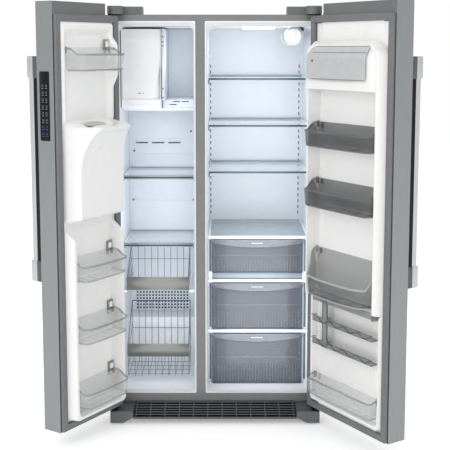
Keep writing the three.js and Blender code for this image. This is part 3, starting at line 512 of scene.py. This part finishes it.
def freezer_shelf(name, top):
    """A glass pane between white side rails, with a rounded trim in front."""
    x, y = (-415, -94), (150, 469)
    trim, edge, rail = 1, 2, 3
    shape = Shape().block(inset(x, 6), (y[0] + 8, y[1] - 4), (top - 4, top), 1)
    shape.block(inset(x, 2), (y[0], y[0] + 13), (top - 16, top + 1.5), 5, kind=trim)
    shape.block(inset(x, 4), (y[0], y[0] + 4), (top - 13, top - 4), 1.5, kind=edge)
    for side in (x[0] + 1, x[1] - 7):
        shape.block((side, side + 6), (y[0] + 10, y[1]), (top - 9, top + 2), 2, kind=rail)
        shape.block((side, side + 6), (y[0] + 2, y[0] + 16), (top - 22, top + 3), 2, kind=trim)
    shape.block(inset(x, 4), (y[1] - 5, y[1]), (top - 5, top + 3), 1.5, kind=edge)
    mats = ["glass", "trim", "far_edge", "case_white"]
    case_piece(f"freezer_shelf_{name}_pane", shape, mats, f"freezer_shelf_{name}")


def wire_basket(name, bottom, height, bar):
    """A basket of round wire, low in front behind its bowed bar and high at the back."""
    x, y, wire, turn = (-396, -121), (114, 336), 1.35, 12
    top, front_top, base = bottom + height - 2.5, bottom + bar + 58, bottom + 2
    front_bar, rim = 1, 2
    bend = (0, 0.5, 1.05, 1.57)
    profile = [(y[0], front_top)]
    profile += [(y[0] + turn * (1 - math.cos(a)), base + turn * (1 - math.sin(a))) for a in bend]
    profile += [(y[1] - turn * (1 - math.sin(a)), base + turn * (1 - math.sin(b)))
                for a, b in zip(bend, bend[::-1])]
    profile += [(y[1], top)]
    shape = Shape()
    for at in np.linspace(*x, 10):
        shape.sweep([(at, py, pz) for py, pz in profile], wire, 6)
    for at in x:
        shape.sweep([(at, y[0], front_top), (at, y[1], top)], 2.2, 6)
        for share in (0.3, 0.65):
            near, far = base + (front_top - base) * share, base + (top - base) * share
            shape.sweep([(at, y[0], near), (at, y[1], far)], wire, 6)
    across = [(y[1], base + (top - base) * 0.55, wire, 0), (y[1], top, 2.4, rim), (y[0], front_top, 1.8, rim)]
    across += [(depth, base + 1.6, wire, 0) for depth in np.linspace(*inset(y, 26), 4)]
    for depth, z, radius, kind in across:
        shape.sweep([(at, depth, z) for at in x], radius, 6, kind=kind)
    foot, tall = bottom + bar, 62
    arc = [(105 + 7 * (t * 2 - 1) ** 2, foot + 1 + (tall - 2) * t) for t in np.linspace(0, 1, 11)]
    section = arc + [(112.4, foot + tall - 2), (112.4, foot + 2)]
    centre = foot + tall / 2
    ends = [(-399, 0.9), (-397.6, 1.0), (-119.4, 1.0), (-118, 0.9)]
    rings = [[(px, py, centre + (pz - centre) * k) for py, pz in section] for px, k in ends]
    shape.loft(rings, kind=front_bar)
    piece(f"{name}_basket_wires", shape, ["wire", "bar", "edge"], CASE, f"{name}_basket",
          f"freezer_basket_{name}", crease=50)


def fridge_interior():
    """The fridge compartment and what stands in it."""
    walls = (-32, 418)
    compartment("fridge_liner", (-42, 424), walls)
    shape = raised_floor(walls)
    shape.block((-31.8, -30), (70, 380), (1610, 1700), 0.8)
    shape.block((-31.8, -25), (60, 300), (1583, 1590), 2)
    case_piece("fridge_floor_step", shape, ["case_white"])
    case_piece("ceiling_lamp_lens", Shape().block((120, 262), (110, 200), (1704, 1712), 3), ["lens"])
    shelf_ladders()
    water_filter()
    for number, top in enumerate((1489, 1282, 1074), 1):
        glass_shelf(number, top)
    crisper()


def shelf_ladders():
    """The two strips on the back wall, with rows of openings, that carry the shelves; the openings are dark
    blocks of painted shade.
    """
    shape = Shape()
    for x in (-31, 397):
        shape.block((x, x + 10), (550, 555), (800, 1560), 1.5)
        for z in np.linspace(812, 1527, 26):
            # dark blocks: painted shade in the ladder's openings
            shape.block((x + 2.5, x + 7.5), (549.4, 552), (z, z + 15), 0.8, kind=1)
    case_piece("shelf_ladders", shape, ["case_white", "slot_shade_and_dark_marks"])


def water_filter():
    """A round filter under the ceiling, with a grip on its head and two collars that hold it."""
    x, z = 345, 1674
    head = Shape().disc((x, 120, z), 33, -22, crown=0.12)
    head.disc((x, 420, z), 31, -300)
    head.block((x - 5, x + 5), (88, 99), (z - 26, z + 26), 3)
    piece("water_filter_cap", head, ["bin_white"], CASE, "filter", "water_filter")
    collars = Shape()
    outer, inner = ellipse((x, z), (41, 41), 32), ellipse((x, z), (37.4, 37.4), 32)
    for y, deep in ((122, 34), (380, 52)):
        loops = [(outer, y), (outer, y + deep), (inner, y + deep), (inner, y), (outer, y)]
        collars.loft([[(a, at, b) for a, b in loop] for loop, at in loops], caps=(False, False))
    collars.block((x + 20, x + 44), (123, 155), (z + 20, 1711.5), 4, kind=1)
    case_piece("water_filter_collars", collars, ["case_white", "slot_shade_and_dark_marks"])


def glass_shelf(number, top):
    """A glass pane with dark front clips, pale rails and the arms that hook into the ladders."""
    x, y = (-31, 417), (130, 549)
    edge, rail, far_edge = 1, 2, 3
    shape = Shape().block(inset(x, 4), inset(y, 6), (top - 5, top), 1)
    shape.block(inset(x, 2), (y[0], y[0] + 8), (top - 8, top + 1), 2.5, kind=edge)
    shape.block(inset(x, 2), (y[1] - 8, y[1]), (top - 6, top + 3), 2, kind=far_edge)
    arm = [(y[0] + 40, top - 8), (y[1], top - 38), (y[1], top - 6), (y[0] + 40, top - 6)]
    for at in (x[0] + 1, x[1] - 6):
        shape.block((at, at + 5), (y[0] + 8, y[1] - 4), (top - 9, top + 1), 1.5, kind=rail)
        shape.loft([[(at + k, a, b) for a, b in arm] for k in (0.8, 3.8)], kind=rail)
        shape.block((at, at + 4.6), (y[0] + 0.5, y[0] + 10), (top - 26, top - 8), 1.5, kind=edge)
    mats = ["glass", "edge", "rail", "far_edge"]
    case_piece(f"glass_shelf_{number}_pane", shape, mats, f"glass_shelf_{number}")


def crisper():
    """White rails and blue-grey glass decks over three see-through drawers."""
    x, front, back = (-31.7, 417.7), 112, 545
    deck, post = 1, 2
    shape = Shape()
    for low, high, end in ((772.6, 786, back), (574, 588, back), (341, 356.6, 346)):
        shape.block(x, (front, front + 9), (low, high), 3)
        shape.block(inset(x, 2), (front + 8, end), (low + 3, high - 2), 1, kind=deck)
        for at in (x[0], x[1] - 10):
            shape.block((at, at + 10), (front + 6, end), (low + 1, high), 2)
    shape.block((-12, 390), (front + 12, front + 18), (588, 616), 2, kind=deck)
    for side in ((x[0], -13), (391, x[1])):
        shape.block(side, (front + 12, back), (347, 772), 3)
        shape.block(side, (front + 12, 346), (104.5, 348), 3)
        middle = sum(side) / 2
        for z in ((120, 335), (365, 568), (622, 768)):
            shape.block((middle - 5, middle + 5), (front + 11, front + 14), z, 3, kind=post)
    case_piece("crisper_housing", shape, ["rail", "deck", "drawer_post"], replaced="crisper_frame")
    drawers = ((617, 154, 500, "upper"), (357, 214, 500, "middle"), (104.3, 233, 342, "lower"))
    for number, (bottom, height, end, level) in enumerate(drawers, 1):
        drawer(number, bottom, height, end, f"{level}_drawer")


def drawer(number, bottom, height, back, body):
    """A ribbed see-through tub behind a bowed front with a curved pull band and a blank label."""
    x, front, top = (-10, 388), 112, bottom + height
    post, band, label = 1, 2, 3
    shape = Shape().block(x, (front, front + 3), (bottom + 4, top - 4), 1)
    for side in ((x[0], x[0] + 2.6), (x[1] - 2.6, x[1])):
        shape.block(side, (front, back), (bottom, top - 4), 1)
    shape.block(x, (back - 3, back), (bottom, top - 20), 1)
    shape.block(x, (front, back), (bottom, bottom + 3), 1)
    for at in np.linspace(*inset(x, 12), 30):
        rib = (at - 1.2, at + 1.2)
        shape.block(rib, (front + 12, back - 6), (bottom + 2, bottom + 7), 0.8)
        shape.block(rib, (front - 1, front + 1), (bottom + 9, bottom + height * 0.4), 0.8, kind=band)
    line = (bottom + height * 0.52, bottom + height * 0.54)
    shape.block(inset(x, 16), (front - 0.8, front + 1), line, 0.8, kind=band)
    for at in (x[0] + 15, x[1] - 18):
        shape.block((at, at + 3), (front - 1, front + 1), (bottom + 8, top - 34), 0.8, kind=post)
    for at in (x[0] - 3, x[1] - 9):
        shape.block((at, at + 12), (front - 3, front + 8), (bottom, top - 8), 3, kind=post)
    shape.block(inset(x, -3), (front - 4, front + 4), (bottom, bottom + 8), 3, kind=post)
    rim = rounded(inset(x, 2), (front + 4, back - 3), 8, 3)
    shape.sweep([(a, b, top - 3) for a, b in rim], 2.4, 6, closed=True, kind=band)
    shape.loft(pull_band(front, top), kind=band)
    shape.block((162, 214), (front - 9.2, front - 6), (top - 18, top - 14), 1.2, kind=label)
    piece(f"drawer_{number}_tub", shape, ["drawer", "drawer_post", "drawer_band", "label"], CASE, body,
          f"crisper_drawer_{number}")


def pull_band(front, top):
    """Rings along a drawer's pull: a band that bows forward and hangs deepest in the middle."""
    rings = []
    for at in np.linspace(-18, 396, 40):
        t = (at - 189) / 207
        drop = 16 + 20 * (1 - t * t)
        near = front - 1 - 7 * (1 - t * t)
        section = [(near, top - 1), (near - 0.6, top - drop * 0.5), (near, top - drop + 1.5),
                   (near + 1.4, top - drop), (near + 4, top - drop + 3), (near + 5, top - 2), (near + 3, top)]
        rings.append([(at, py, pz) for py, pz in section])
    return rings


# ---- doors

PAN = -14.7  # the flat of the inner door


def depth_within(u, z, across, up, radius):
    """How far a point lies inside a rectangle with rounded corners; negative outside."""
    du = np.abs(u - sum(across) / 2) - (across[1] - across[0]) / 2 + radius
    dz = np.abs(z - sum(up) / 2) - (up[1] - up[0]) / 2 + radius
    return radius - np.hypot(np.maximum(du, 0), np.maximum(dz, 0)) - np.minimum(np.maximum(du, dz), 0)


def raised_frame(u, z, hinge, free, depth, up, soft=10, fall=9, radius=24):
    """Height of the frame round the inner door, whose crest spans hinge at one side and free at the other.

    up is its bottom and top, depth its height, and soft and fall the widths of its outer and inner slopes.
    """
    outer = depth_within(u, z, (hinge[0] - soft, free[1] + soft), (up[0] - soft, up[1] + soft), radius)
    inner = depth_within(u, z, (hinge[1] - 3, free[0] + 3), inset(up, 12), radius)
    return depth * ramp(outer, 0, soft) * (1 - ramp(inner, 0, fall))


def dispenser_hood(u, z):
    """The ice chute's hood: a sloping top and a scooped face whose crest curves down its free side."""
    rise = np.clip((z - 1130) / 175, 0, 1)
    crest_u = 320 - 80 * rise ** 2.4
    crest = 75 + 43 * rise ** 2
    side = crest * np.clip((346 - u) / (346 - crest_u), 0, 1)
    scoop = 7 * ramp(crest_u - u, 0, 16) * ramp(rise, 0.05, 0.5) * (1 - ramp(z, 1286, 1293))
    face = np.minimum(side, crest - scoop) * ramp(u, 36, 60)
    return face * ramp(z, 915, 947) * np.clip((1333 - z) / 26, 0, 1)


def freezer_relief(u, z):
    """Depth of the freezer's inner door: a tall frame below, a low one with a hump above, and the hood."""
    low = raised_frame(u, z, (44, 60), (332.5, 348.5), 60, (118, 1706)) * (1 - ramp(z, 850, 912))
    high = raised_frame(u, z, (50, 54), (340, 344), 17, (112, 1712), 24, 30, 26) * ramp(z, 1320, 1336)
    hump = 26 * ramp(u, 34, 46) * (1 - ramp(u, 54, 66)) * ramp(z, 1452, 1519) * (1 - ramp(z, 1630, 1672))
    pan = 5 * ramp(np.minimum(u - 66, 324 - u), 0, 10) * (1 - ramp(z, 890, 905))
    return PAN + np.maximum.reduce([low, high + hump, dispenser_hood(u, z), pan])


def chute_bowl(u, y, z):
    """The bowl in the top of the hood that ice drops through."""
    bowl = 30 * np.exp(-(((u - 200) / 60) ** 6) - ((y - 34) / 28) ** 6)
    return bowl * ramp(z, 1307, 1312) * (1 - ramp(z, 1329, 1333))


def fridge_relief(u, z):
    """Depth of the fridge's inner door: a frame, shallow below the big bin, and round bosses."""
    hinge, turn = (44, 56), ramp(z, 570, 590)
    above = raised_frame(u, z, hinge, (464.5, 474.5), 58, (118, 1636), 12, radius=66) * turn
    below = raised_frame(u, z, hinge, (470, 476), 26, (118, 1706)) * (1 - turn)
    rim = np.maximum(above, below)
    pan = 5 * ramp(np.minimum(u - 66, 450 - u), 0, 10) * (1 - ramp(rim, 1, 4))
    bosses = 0
    for at in (1400, 1175, 1125, 900, 835):
        bosses = bosses + 5 * np.exp(-(((u - 76) / 7) ** 2) - ((z - at) / 7) ** 2)
    return PAN + rim + pan + bosses


def inner_door(door, depth, fine=(), dip=None):
    """The moulded liner of a door; fine lists heights where the mould turns and needs closer rows."""
    width = WIDTHS[door]
    us = np.arange(12.6, width - 12.4, 2.9)
    rows = [np.arange(73.6, 1756, 5.0)] + [np.arange(z - 12, z + 12, 1.2) for z in fine]
    zs = np.unique(np.round(np.concatenate(rows), 1))
    shape = Shape().sheet(us, zs, depth, 1, dip=dip)
    door_piece(door, f"{door}_liner_moulding", shape, ["door_white"], f"{door}_liner",
               solid=False)
    # a thin dark ring round the liner where the gasket meets it: painted shade of the gap between them
    outline = rounded((33.6, width - 33.6), (100.6, 1724.4), 6, 3)
    gap_shade_ring = Shape().sweep([(x, PAN + 0.4, z) for x, z in outline], 1.3, 6, closed=True)
    door_piece(door, f"{door}_gasket_gap_shade_ring", gap_shade_ring, ["dark_parts_and_gap_shade"])


def door_slab(door, opening=None):
    """The foamed slab behind a door's skin, with a step at its top corner that clears the hinge cover.

    opening is the x and z range left free for the dispenser.
    """
    y, low, high, step, notch = (-100.6, -14.9), 68.6, 1802.6, 1756.8, 72
    start, free_edge = 93.6, WIDTHS[door] - 0.3
    shape = Shape().block((0.8, notch + 0.3), y, (low, step), 0.8)
    shape.block((notch, 94), y, (low, high), 0.8)
    if opening:
        u, z = opening
        shape.block((start, u[1]), y, (low, z[0]), 0.3)
        shape.block((start, u[1]), y, (z[1], high), 0.8)
        start = u[1] - 0.3
    shape.block((start, free_edge), y, (low, high), 0.8)
    door_piece(door, f"{door}_slab", shape, ["cap"], f"{door}_core")


def tray_outline(x, y, near_radius, far_radius, bow=0.0):
    """Points round a tray from above: tight corners at the door, wide ones and a bow in front."""
    near, far = y[0] + near_radius, y[1] - far_radius
    (left, right), (far_left, far_right) = inset(x, near_radius), inset(x, far_radius)
    turned = [corner((right, near), near_radius, -90), corner((far_right, far), far_radius, 0),
              corner((far_left, far), far_radius, 90), corner((left, near), near_radius, 180)]
    points = []
    for here, following in zip(turned, turned[1:] + turned[:1]):
        begin, end = here[-1], following[0]
        points += here
        points += [[b + (e - b) * t for b, e in zip(begin, end)] for t in (0.2, 0.4, 0.6, 0.8)]
    middle, half = (x[0] + x[1]) / 2, (x[1] - x[0]) / 2
    reach = [float(ramp(py, y[0] + 0.5 * (y[1] - y[0]), y[1])) for _, py in points]
    return [(px, py + bow * k * (1 - ((px - middle) / half) ** 2)) for (px, py), k in zip(points, reach)]


def tray(u, deep, bottom, front, back, radius=30, bow=6.0):
    """A thin see-through tray with a thick rim; front and back are its heights in front and at the door."""
    near, far, lean = PAN + 6, deep - bow, 7.0

    def ring(by, share, lift=0.0):
        """The tray's outline, drawn in by a distance, at a share of its height."""
        y = (near + max(by - 3, 0), far - by)
        points = []
        for px, py in tray_outline(inset(u, by), y, 6, max(8, radius - by), bow):
            slope = float(ramp(py, near + (far - near) * 0.25, near + (far - near) * 0.75))
            level = back + (front - back) * slope
            points.append((px, py, bottom + level * share + lift))
        return points

    outside = [ring(lean + 7, 0), ring(lean + 1.5, 0, 2.0), ring(lean - 1, 0, 8), ring(1.4, 1, -9)]
    rim = [ring(0, 1, -7.6), ring(0, 1, -1), ring(0.8, 1), ring(2.4, 1), ring(3.2, 1, -1)]
    inside = [ring(3.6, 1, -9), ring(lean + 1.6, 0, 9), ring(lean + 4, 0, 4), ring(lean + 9, 0, 2.6)]
    shape = Shape().loft(outside + rim + inside, kinds=[1, 1, 0, 1, 1, 1, 1, 1, 1, 0, 1, 0])
    for i, face in enumerate(shape.faces):
        if max(shape.verts[k][1] for k in face) < near + 9:
            shape.kinds[i] = 0  # the wall against the door has no thick rim
    return shape


def door_bins(door, bins, looks):
    """The trays of a door, each with clips at its ends, a hook and ribs in its floor."""
    for number, (sizes, look) in enumerate(zip(bins, looks), 1):
        u, deep, bottom, _, back = sizes[:5]
        top = bottom + back
        shape = tray(*sizes)
        for at in (u[0] + 1.2, u[1] - 7.2):
            shape.block((at, at + 6), (PAN + 5.4, PAN + 17), (top - 24, top + 4), 2, kind=1)
        hook = [(x, PAN + 12, z) for x, z in ellipse((u[0] + 34, top - 14), (5, 11))]
        shape.sweep(hook, 1.5, 6, closed=True, kind=len(look) - 1)
        for at in np.linspace(*inset(u, 50), 5):
            shape.block((at - 1, at + 1), (PAN + 20, deep - 28), (bottom + 2.8, bottom + 6), 0.8)
        door_piece(door, f"{door}_bin_{number}_tray", shape, look, f"{door}_bin_{number}")


def bar_handle(door):
    """A steel bar with a black fin behind it, painted shadow of the gap between bar and door, let into two
    tall two-tone brackets.
    """
    at, shadow_fin, bracket = WIDTHS[door] - 21, 1, 2
    levels = ((712, 0.8), (716, 1), (760, 1), (1135, 1), (1510, 1), (1554, 1), (1558, 0.8))
    shape = Shape().loft([[(x, y, z) for x, y in ellipse((at, -147), (10.5 * share, 14 * share), 24)]
                          for z, share in levels])
    stations = ((-102.2, 9.5, 42), (-104, 10.5, 43.4), (-133, 10.5, 43.4), (-134, 11, 43.4), (-160, 11, 43.4),
                (-166, 8.5, 42.6), (-168.6, 4.5, 41))  # depth and half sizes
    for middle in (723.5, 1546.5):
        rings = []
        for y, half_x, half_z in stations:
            outline = rounded((at - half_x, at + half_x), (middle - half_z, middle + half_z), 4, 4)
            rings.append([(px, y, pz) for px, pz in outline])
        shape.loft(rings, kinds=[bracket, bracket, bracket, 0, 0, 0])
    # the black fin: painted shadow where the gap between bar and door looks dark
    shape.block((at - 6.5, at + 6.5), (-136, -110), (762, 1508), 2.5, kind=shadow_fin)
    door_piece(door, f"{door}_handle_bar", shape, ["handle", "black", "bracket"],
               f"{door}_handle")


def freezer_door():
    """The freezer door: liner, chute, slab, bins, handle and control panel."""
    inner_door(FREEZER, freezer_relief, (1325, 1301, 930), chute_bowl)
    chute_bowl_shade()
    door_slab(FREEZER, ((94, 294), (985, 1250)))
    u, reach, front, back = (60.3, 332.2), 95, 70, 94
    bottoms = (1530, 688, 432, 162)
    clips = Shape()
    for top in (bottom + back for bottom in bottoms):
        clips.block((64, 98), (PAN + 5, PAN + 13), (top - 12, top + 34), 4)
        clips.block((71, 90), (PAN + 12, PAN + 15.5), (top + 2, top + 24), 2, kind=1)
    door_piece(FREEZER, "freezer_door_bin_clips", clips, ["clear_rim", "door_white"])
    bins = [(u, reach, bottom, front, back) for bottom in bottoms]
    door_bins(FREEZER, bins, [["clear", "clear_rim"]] * len(bins))
    bar_handle(FREEZER)
    control_panel()


def chute_bowl_shade():
    """A grey disc in the bowl of the hood, painted shade of the bowl's far wall, which slopes with the hood's
    top.
    """
    rings = []
    for lift, share in ((2.2, 0.9), (0, 1.0), (-2, 1.0)):
        outline = ellipse((200, 34), (56 * share, 25 * share), 32)
        rings.append([(x, y, 1329.4 - 0.22 * (y - PAN) + lift) for x, y in outline])
    door_piece(FREEZER, "chute_bowl_shade", Shape().loft(rings), ["bowl_shade"])


def control_panel():
    """A black glass strip on the door's free edge, with two columns of blank rings and dashes."""
    x, y, z = (388.8, 390.1), (-88, -37), (1258, 1531)
    middle_y, middle_z = sum(y) / 2, sum(z) / 2
    white, blue = 1, 2
    outline = rounded(y, z, 6, 5)
    softened = [(middle_y + (a - middle_y) * 0.985, middle_z + (b - middle_z) * 0.997) for a, b in outline]
    loops = ((x[0], outline), (x[1] - 0.4, outline), (x[1], softened))
    shape = Shape().loft([[(at, a, b) for a, b in loop] for at, loop in loops])
    for row in range(8):
        centre = 1286 + 27 * row
        mark = blue if row < 2 else white
        for column in (-71, -52):
            loop = [(x[1], a, b) for a, b in ellipse((column, centre), (4, 4), 12)]
            shape.sweep(loop, 0.5, 5, closed=True, kind=mark)
            dash = (column - 4.5, column + 4.5)
            shape.block((x[1] - 0.3, x[1] + 0.2), dash, (centre - 11, centre - 9.4), 0.1, kind=mark)
    door_piece(FREEZER, "control_panel_glass", shape, ["black_glass", "icon", "icon_blue"],
               "control_panel")


def fridge_door():
    """The fridge door: liner, slab, bins, handle, dairy box and can rack."""
    inner_door(FRIDGE, fridge_relief, (1650, 580))
    door_slab(FRIDGE)
    u = (56.3, 464.2)
    bins = [(u, 85, 1218, 70, 100), (u, 85, 969, 74, 112), (u, 100, 602, 84, 185, 70, 26),
            (u, 50, 152, 76, 84, 16, 3)]
    small = ["dark_smoke", "smoke_rim", "dark_parts_and_gap_shade"]
    big = ["smoke", "light_rim", "dark_parts_and_gap_shade"]
    door_bins(FRIDGE, bins, [small, small, big, ["clear", "clear_rim"]])
    bar_handle(FRIDGE)
    dairy_box()
    dairy_lid()
    can_rack()


def dairy_profile(z, reach):
    """How far the dairy box stands out at a height: it rounds back to the door at its top."""
    return reach - (reach - 8) * float(np.clip((z - 1560) / 92, 0, 1)) ** 2.6


def corner_drop(past, radius):
    """How far a quarter circle has fallen at a distance past its start."""
    return radius - math.sqrt(radius ** 2 - max(0.0, past) ** 2)


def dairy_box():
    """A moulded white box that rounds over at its top and at the top of its free side."""
    levels = [1455, 1456.5, *range(1460, 1561, 20), 1575, 1590, 1605, 1618, 1630, 1640, 1646, 1650]
    stations = [(46, 0.55), (48, 0.8), (52, 0.93), (58, 0.985)]
    stations += [(x, 1) for x in (66, 410, 420, 430, 440, 448)]
    stations += [(454, 0.995), (460, 0.98), (465, 0.93), (469, 0.8), (471, 0.55)]
    low, top, foot_step = levels[0], levels[-1], 4
    rings = []
    for x, share in stations:
        squeeze = 1 - corner_drop(x - 410, 61) / (top - low)
        ring = []
        for z in levels:
            y = PAN + (dairy_profile(z, 62) - PAN) * share
            ring.append((x, y - foot_step if z < 1456 else y, low + (z - low) * squeeze))
        rings.append(ring + [(x, PAN, ring[-1][2]), (x, PAN, low)])
    door_piece(FRIDGE, "dairy_box_moulding", Shape().loft(rings), ["door_white"],
               "dairy_housing")


def dairy_lid():
    """The dairy box's see-through lid, of the same curve, with three ribs and a button."""
    x, z, reach, radius = (72, 436), (1491, 1631), 69.5, 34
    rib, button = 1, 2
    rings = []
    for at in np.linspace(*x, 40):
        sag = 5 * math.sin(math.pi * (at - x[0]) / (x[1] - x[0]))
        top, low = z[1] - corner_drop(x[0] + radius - at, radius), z[0] + 6 - sag
        heights = np.linspace(low, top, 19)
        outer = [(at, dairy_profile(h, reach) + 1.5, h) for h in heights]
        inner = [(at, dairy_profile(h, reach) - 1.4, h) for h in heights[::-1]]
        rings.append(outer + inner)
    lid = Shape().loft(rings)
    for a, b in ((z[0] + 4, z[0] + 9), (z[1] - 30, z[1] - 26), (z[1] - 6, z[1] - 1)):
        y = dairy_profile((a + b) / 2, reach)
        lid.block((x[0] + 30, x[1] - 3), (y - 0.5, y + 2.2), (a, b), 1.2, kind=rib)
    lid.disc((112, 70.8, 1570), 4.5, 1.6, kind=button)
    mats = ["flap", "flap_edge", "dark_parts_and_gap_shade"]
    piece("dairy_flap", lid, mats, PLACES[FRIDGE], "dairy_cover", "dairy_cover")


def can_rack():
    """Two rails with waved wires for cans, under a broad band and joined by a post."""
    u, near, far = (84, 463.9), PAN + 8, 34
    rim, wire, waves = 1, 2, 4
    shape = Shape().block(u, (far - 4, far), (566, 594), 3)
    shape.block((u[1] - 7, u[1]), (near, far + 1), (560, 596), 2, kind=rim)
    xs = np.linspace(u[0] + 30, u[1] - 2, 81)
    phases = [2 * math.pi * waves * (x - xs[0]) / (xs[-1] - xs[0]) for x in xs]
    for z in (392, 490):
        shape.block(u, (near, far), (z - 12, z - 9.5), 1)
        shape.block(u, (far - 4, far - 1), (z - 12, z + 10), 1.5)
        for low in (z - 13, z + 9):
            shape.block(u, (far - 4.5, far), (low, low + 2.2), 1, kind=rim)
        shape.sweep([(x, far - 0.4, z - 1 + 8 * math.cos(a)) for x, a in zip(xs, phases)], 1.5, 6, kind=wire)
        for centre, reach in ((u[0] - 2, 10), (166, 20)):
            ring = [(x, y, z + 10) for x, y in ellipse((centre, far - 12), (reach, 11))]
            shape.sweep(ring, 1.3, 6, closed=True, kind=wire)
    shape.block((150, 182), (far - 6, far), (376, 590), 4)
    for at in (150, 179.4):
        shape.block((at, at + 2.6), (far - 6, far + 0.6), (376, 590), 1, kind=rim)
    door_piece(FRIDGE, "can_rack_frame", shape, ["rack", "smoke_rim", "wire_dark"],
               "can_rack")


# ---- the rest of the case


def toe_grille():
    """Side blocks with sloping inner ends, a rail, and a dark sloping grid of louvres between them over a
    black plate that is painted shade.
    """
    shade_plate, louvre, half = 1, 2, 355
    shape = Shape()
    for side in (-1, 1):
        outline = [(side * x, z) for x, z in ((454, 5.5), (399, 5.5), (half, 29), (half, 57), (454, 57))]
        shape.loft([[(x, y, z) for x, z in outline] for y in (-111, -109.5, 1.2, 2.6)])
    # the black sloping plate under the louvres is painted shade, standing where the dark space beneath the
    # case would show
    section = [(-108, 24), (-108, 29), (-8, 58), (2, 58), (2, 24)]
    shape.loft([[(x, y, z) for y, z in section] for x in (-half, half)], kind=shade_plate)
    shape.block((-half - 1, half + 1), (-9, 2.6), (57, 62), 1.5)
    shape.block((-half - 1, half + 1), (-110.6, -104), (27, 32), 1.5)
    start, end = Vector((0, -105, 31)), Vector((0, -8, 60))
    for i in range(1, 6):
        at = start.lerp(end, i / 6)
        shape.block((-half, half), (at.y - 1.8, at.y + 1.8), (at.z - 2, at.z + 1.7), 0.8, kind=louvre)
    for x in np.linspace(-344, 343.5, 12):
        shape.sweep([(x, start.y, start.z + 0.6), (x, end.y, end.z + 0.6)], 1.5, 6, kind=louvre)
    case_piece("toe_grille_louvres", shape, ["grille", "dark", "louvre"], "toe_grille")


def hinge_trim():
    """Screws and round caps on the hinge covers."""
    shape = Shape()
    for side in (-1, 1):
        shape.disc((side * 420, -44, 1795.6), 24, 0.4, upright=True, crown=0.2)
        shape.disc((side * 330, 3.4, 1780), 5, -1.6, kind=1)
    case_piece("hinge_cover_trim", shape, ["cap", "screw"])


def plain_nodes():
    """Materials and rounded edges for the CAD nodes that are seen as they are."""
    finishes = {
        "cabinet_wrapper": ("paint", 1.0),
        "back_panel": ("zinc",),
        "insulation_foam": ("foam",),
        "base_frame": ("zinc", 0.6),
        "rear_rollers": ("nylon", 1.0),
        "compressor": ("black", 2.0, 3),
        "condenser_coil": ("copper", 1.5),
        "condenser_fan": ("nylon", 0.6),
        "evaporator_coil": ("zinc", 1.0),
        "ice_maker": ("panel_white", 3.0, 3),
        "ice_auger": ("bright",),
        "dispenser_housing": ("black_glass", 1.2),
        "dispenser_paddle": ("nylon", 0.8),
    }
    for side in ("left", "right"):
        finishes[f"levelling_leg_{side}"] = ("nylon", 0.8)
        finishes[f"top_hinge_{side}"] = ("black", 0.8)
        finishes[f"hinge_cover_{side}"] = ("cap", 2.0, 3)
        finishes[f"bottom_hinge_{side}"] = ("black", 0.8)
    for door in (FREEZER, FRIDGE):
        finishes[f"{door}_skin"] = ("stainless", 0.4)
        finishes[f"{door}_gasket"] = ("gasket", 2.5, 3)
    for name, finish in finishes.items():
        finish_node(name, *finish)


# ---- studio


def area_light(name, at, target, size, power, colour=(1, 1, 1)):
    """A soft rectangular light that shines towards a target and is itself unseen."""
    light = bpy.data.lights.new(name, "AREA")
    light.shape = "RECTANGLE"
    light.size, light.size_y = size
    light.energy = power
    light.color = colour
    obj = add_object(name, light)
    obj.location = at
    obj.rotation_mode = "QUATERNION"
    obj.rotation_quaternion = (Vector(target) - Vector(at)).to_track_quat("-Z", "Y")
    obj.visible_camera = False


def camera():
    """A view into the open refrigerator, tilted a little down."""
    lens = bpy.data.cameras.new("camera")
    lens.sensor_width = 36.0
    lens.lens = 76.4
    lens.shift_y = -0.14
    obj = add_object("camera", lens)
    obj.location = PLACE + Vector((0.0436, -4.0916, 1.6209))
    obj.rotation_euler = (math.radians(90 - 6.8), 0, 0)
    bpy.context.scene.camera = obj


def floor():
    """A wide white floor that glows a little."""
    mesh = bpy.data.meshes.new("studio_floor")
    half = 12
    mesh.from_pydata([(-half, -half, 0), (half, -half, 0), (half, half, 0), (-half, half, 0)], [], [range(4)])
    mesh.materials.append(MATERIALS["floor_white"])
    add_object("studio_floor", mesh)


def studio():
    """Camera, floor, white surroundings, a key light and lights inside the compartments."""
    camera()
    floor()
    world = bpy.data.worlds.new("studio_world")
    world.use_nodes = True
    background = world.node_tree.nodes["Background"].inputs
    background["Color"].default_value = (1, 1, 1, 1)
    background["Strength"].default_value = 1.0
    bpy.context.scene.world = world
    bpy.context.scene.view_settings.view_transform = "Standard"

    area_light("key", (-2.2, -4.0, 3.4), (0, 0, 1.0), (2.2, 2.2), 34)
    inside = (  # name, place and target from the middle of the case's front, size, power
        ("fridge_glow", (0.19, 0.01, 0.91), (0.19, 1, 0.9), (0.34, 1.52), 2.5),
        ("freezer_glow", (-0.254, 0.01, 0.75), (-0.254, 1, 0.75), (0.26, 1.1), 1.5),
        ("fridge_lamp", (0.19, 0.16, 1.70), (0.19, 0.25, 0.8), (0.3, 0.1), 0.4),
        ("freezer_lamp", (-0.155, 0.14, 1.6), (-0.16, 0.45, 1.5), (0.1, 0.16), 0.22),
    )
    for name, at, target, size, power in inside:
        area_light(name, PLACE + Vector(at), PLACE + Vector(target), size, power, (0.98, 0.99, 1.0))


plain_nodes()
hinge_trim()
toe_grille()
freezer_interior()
fridge_interior()
freezer_door()
fridge_door()
studio()
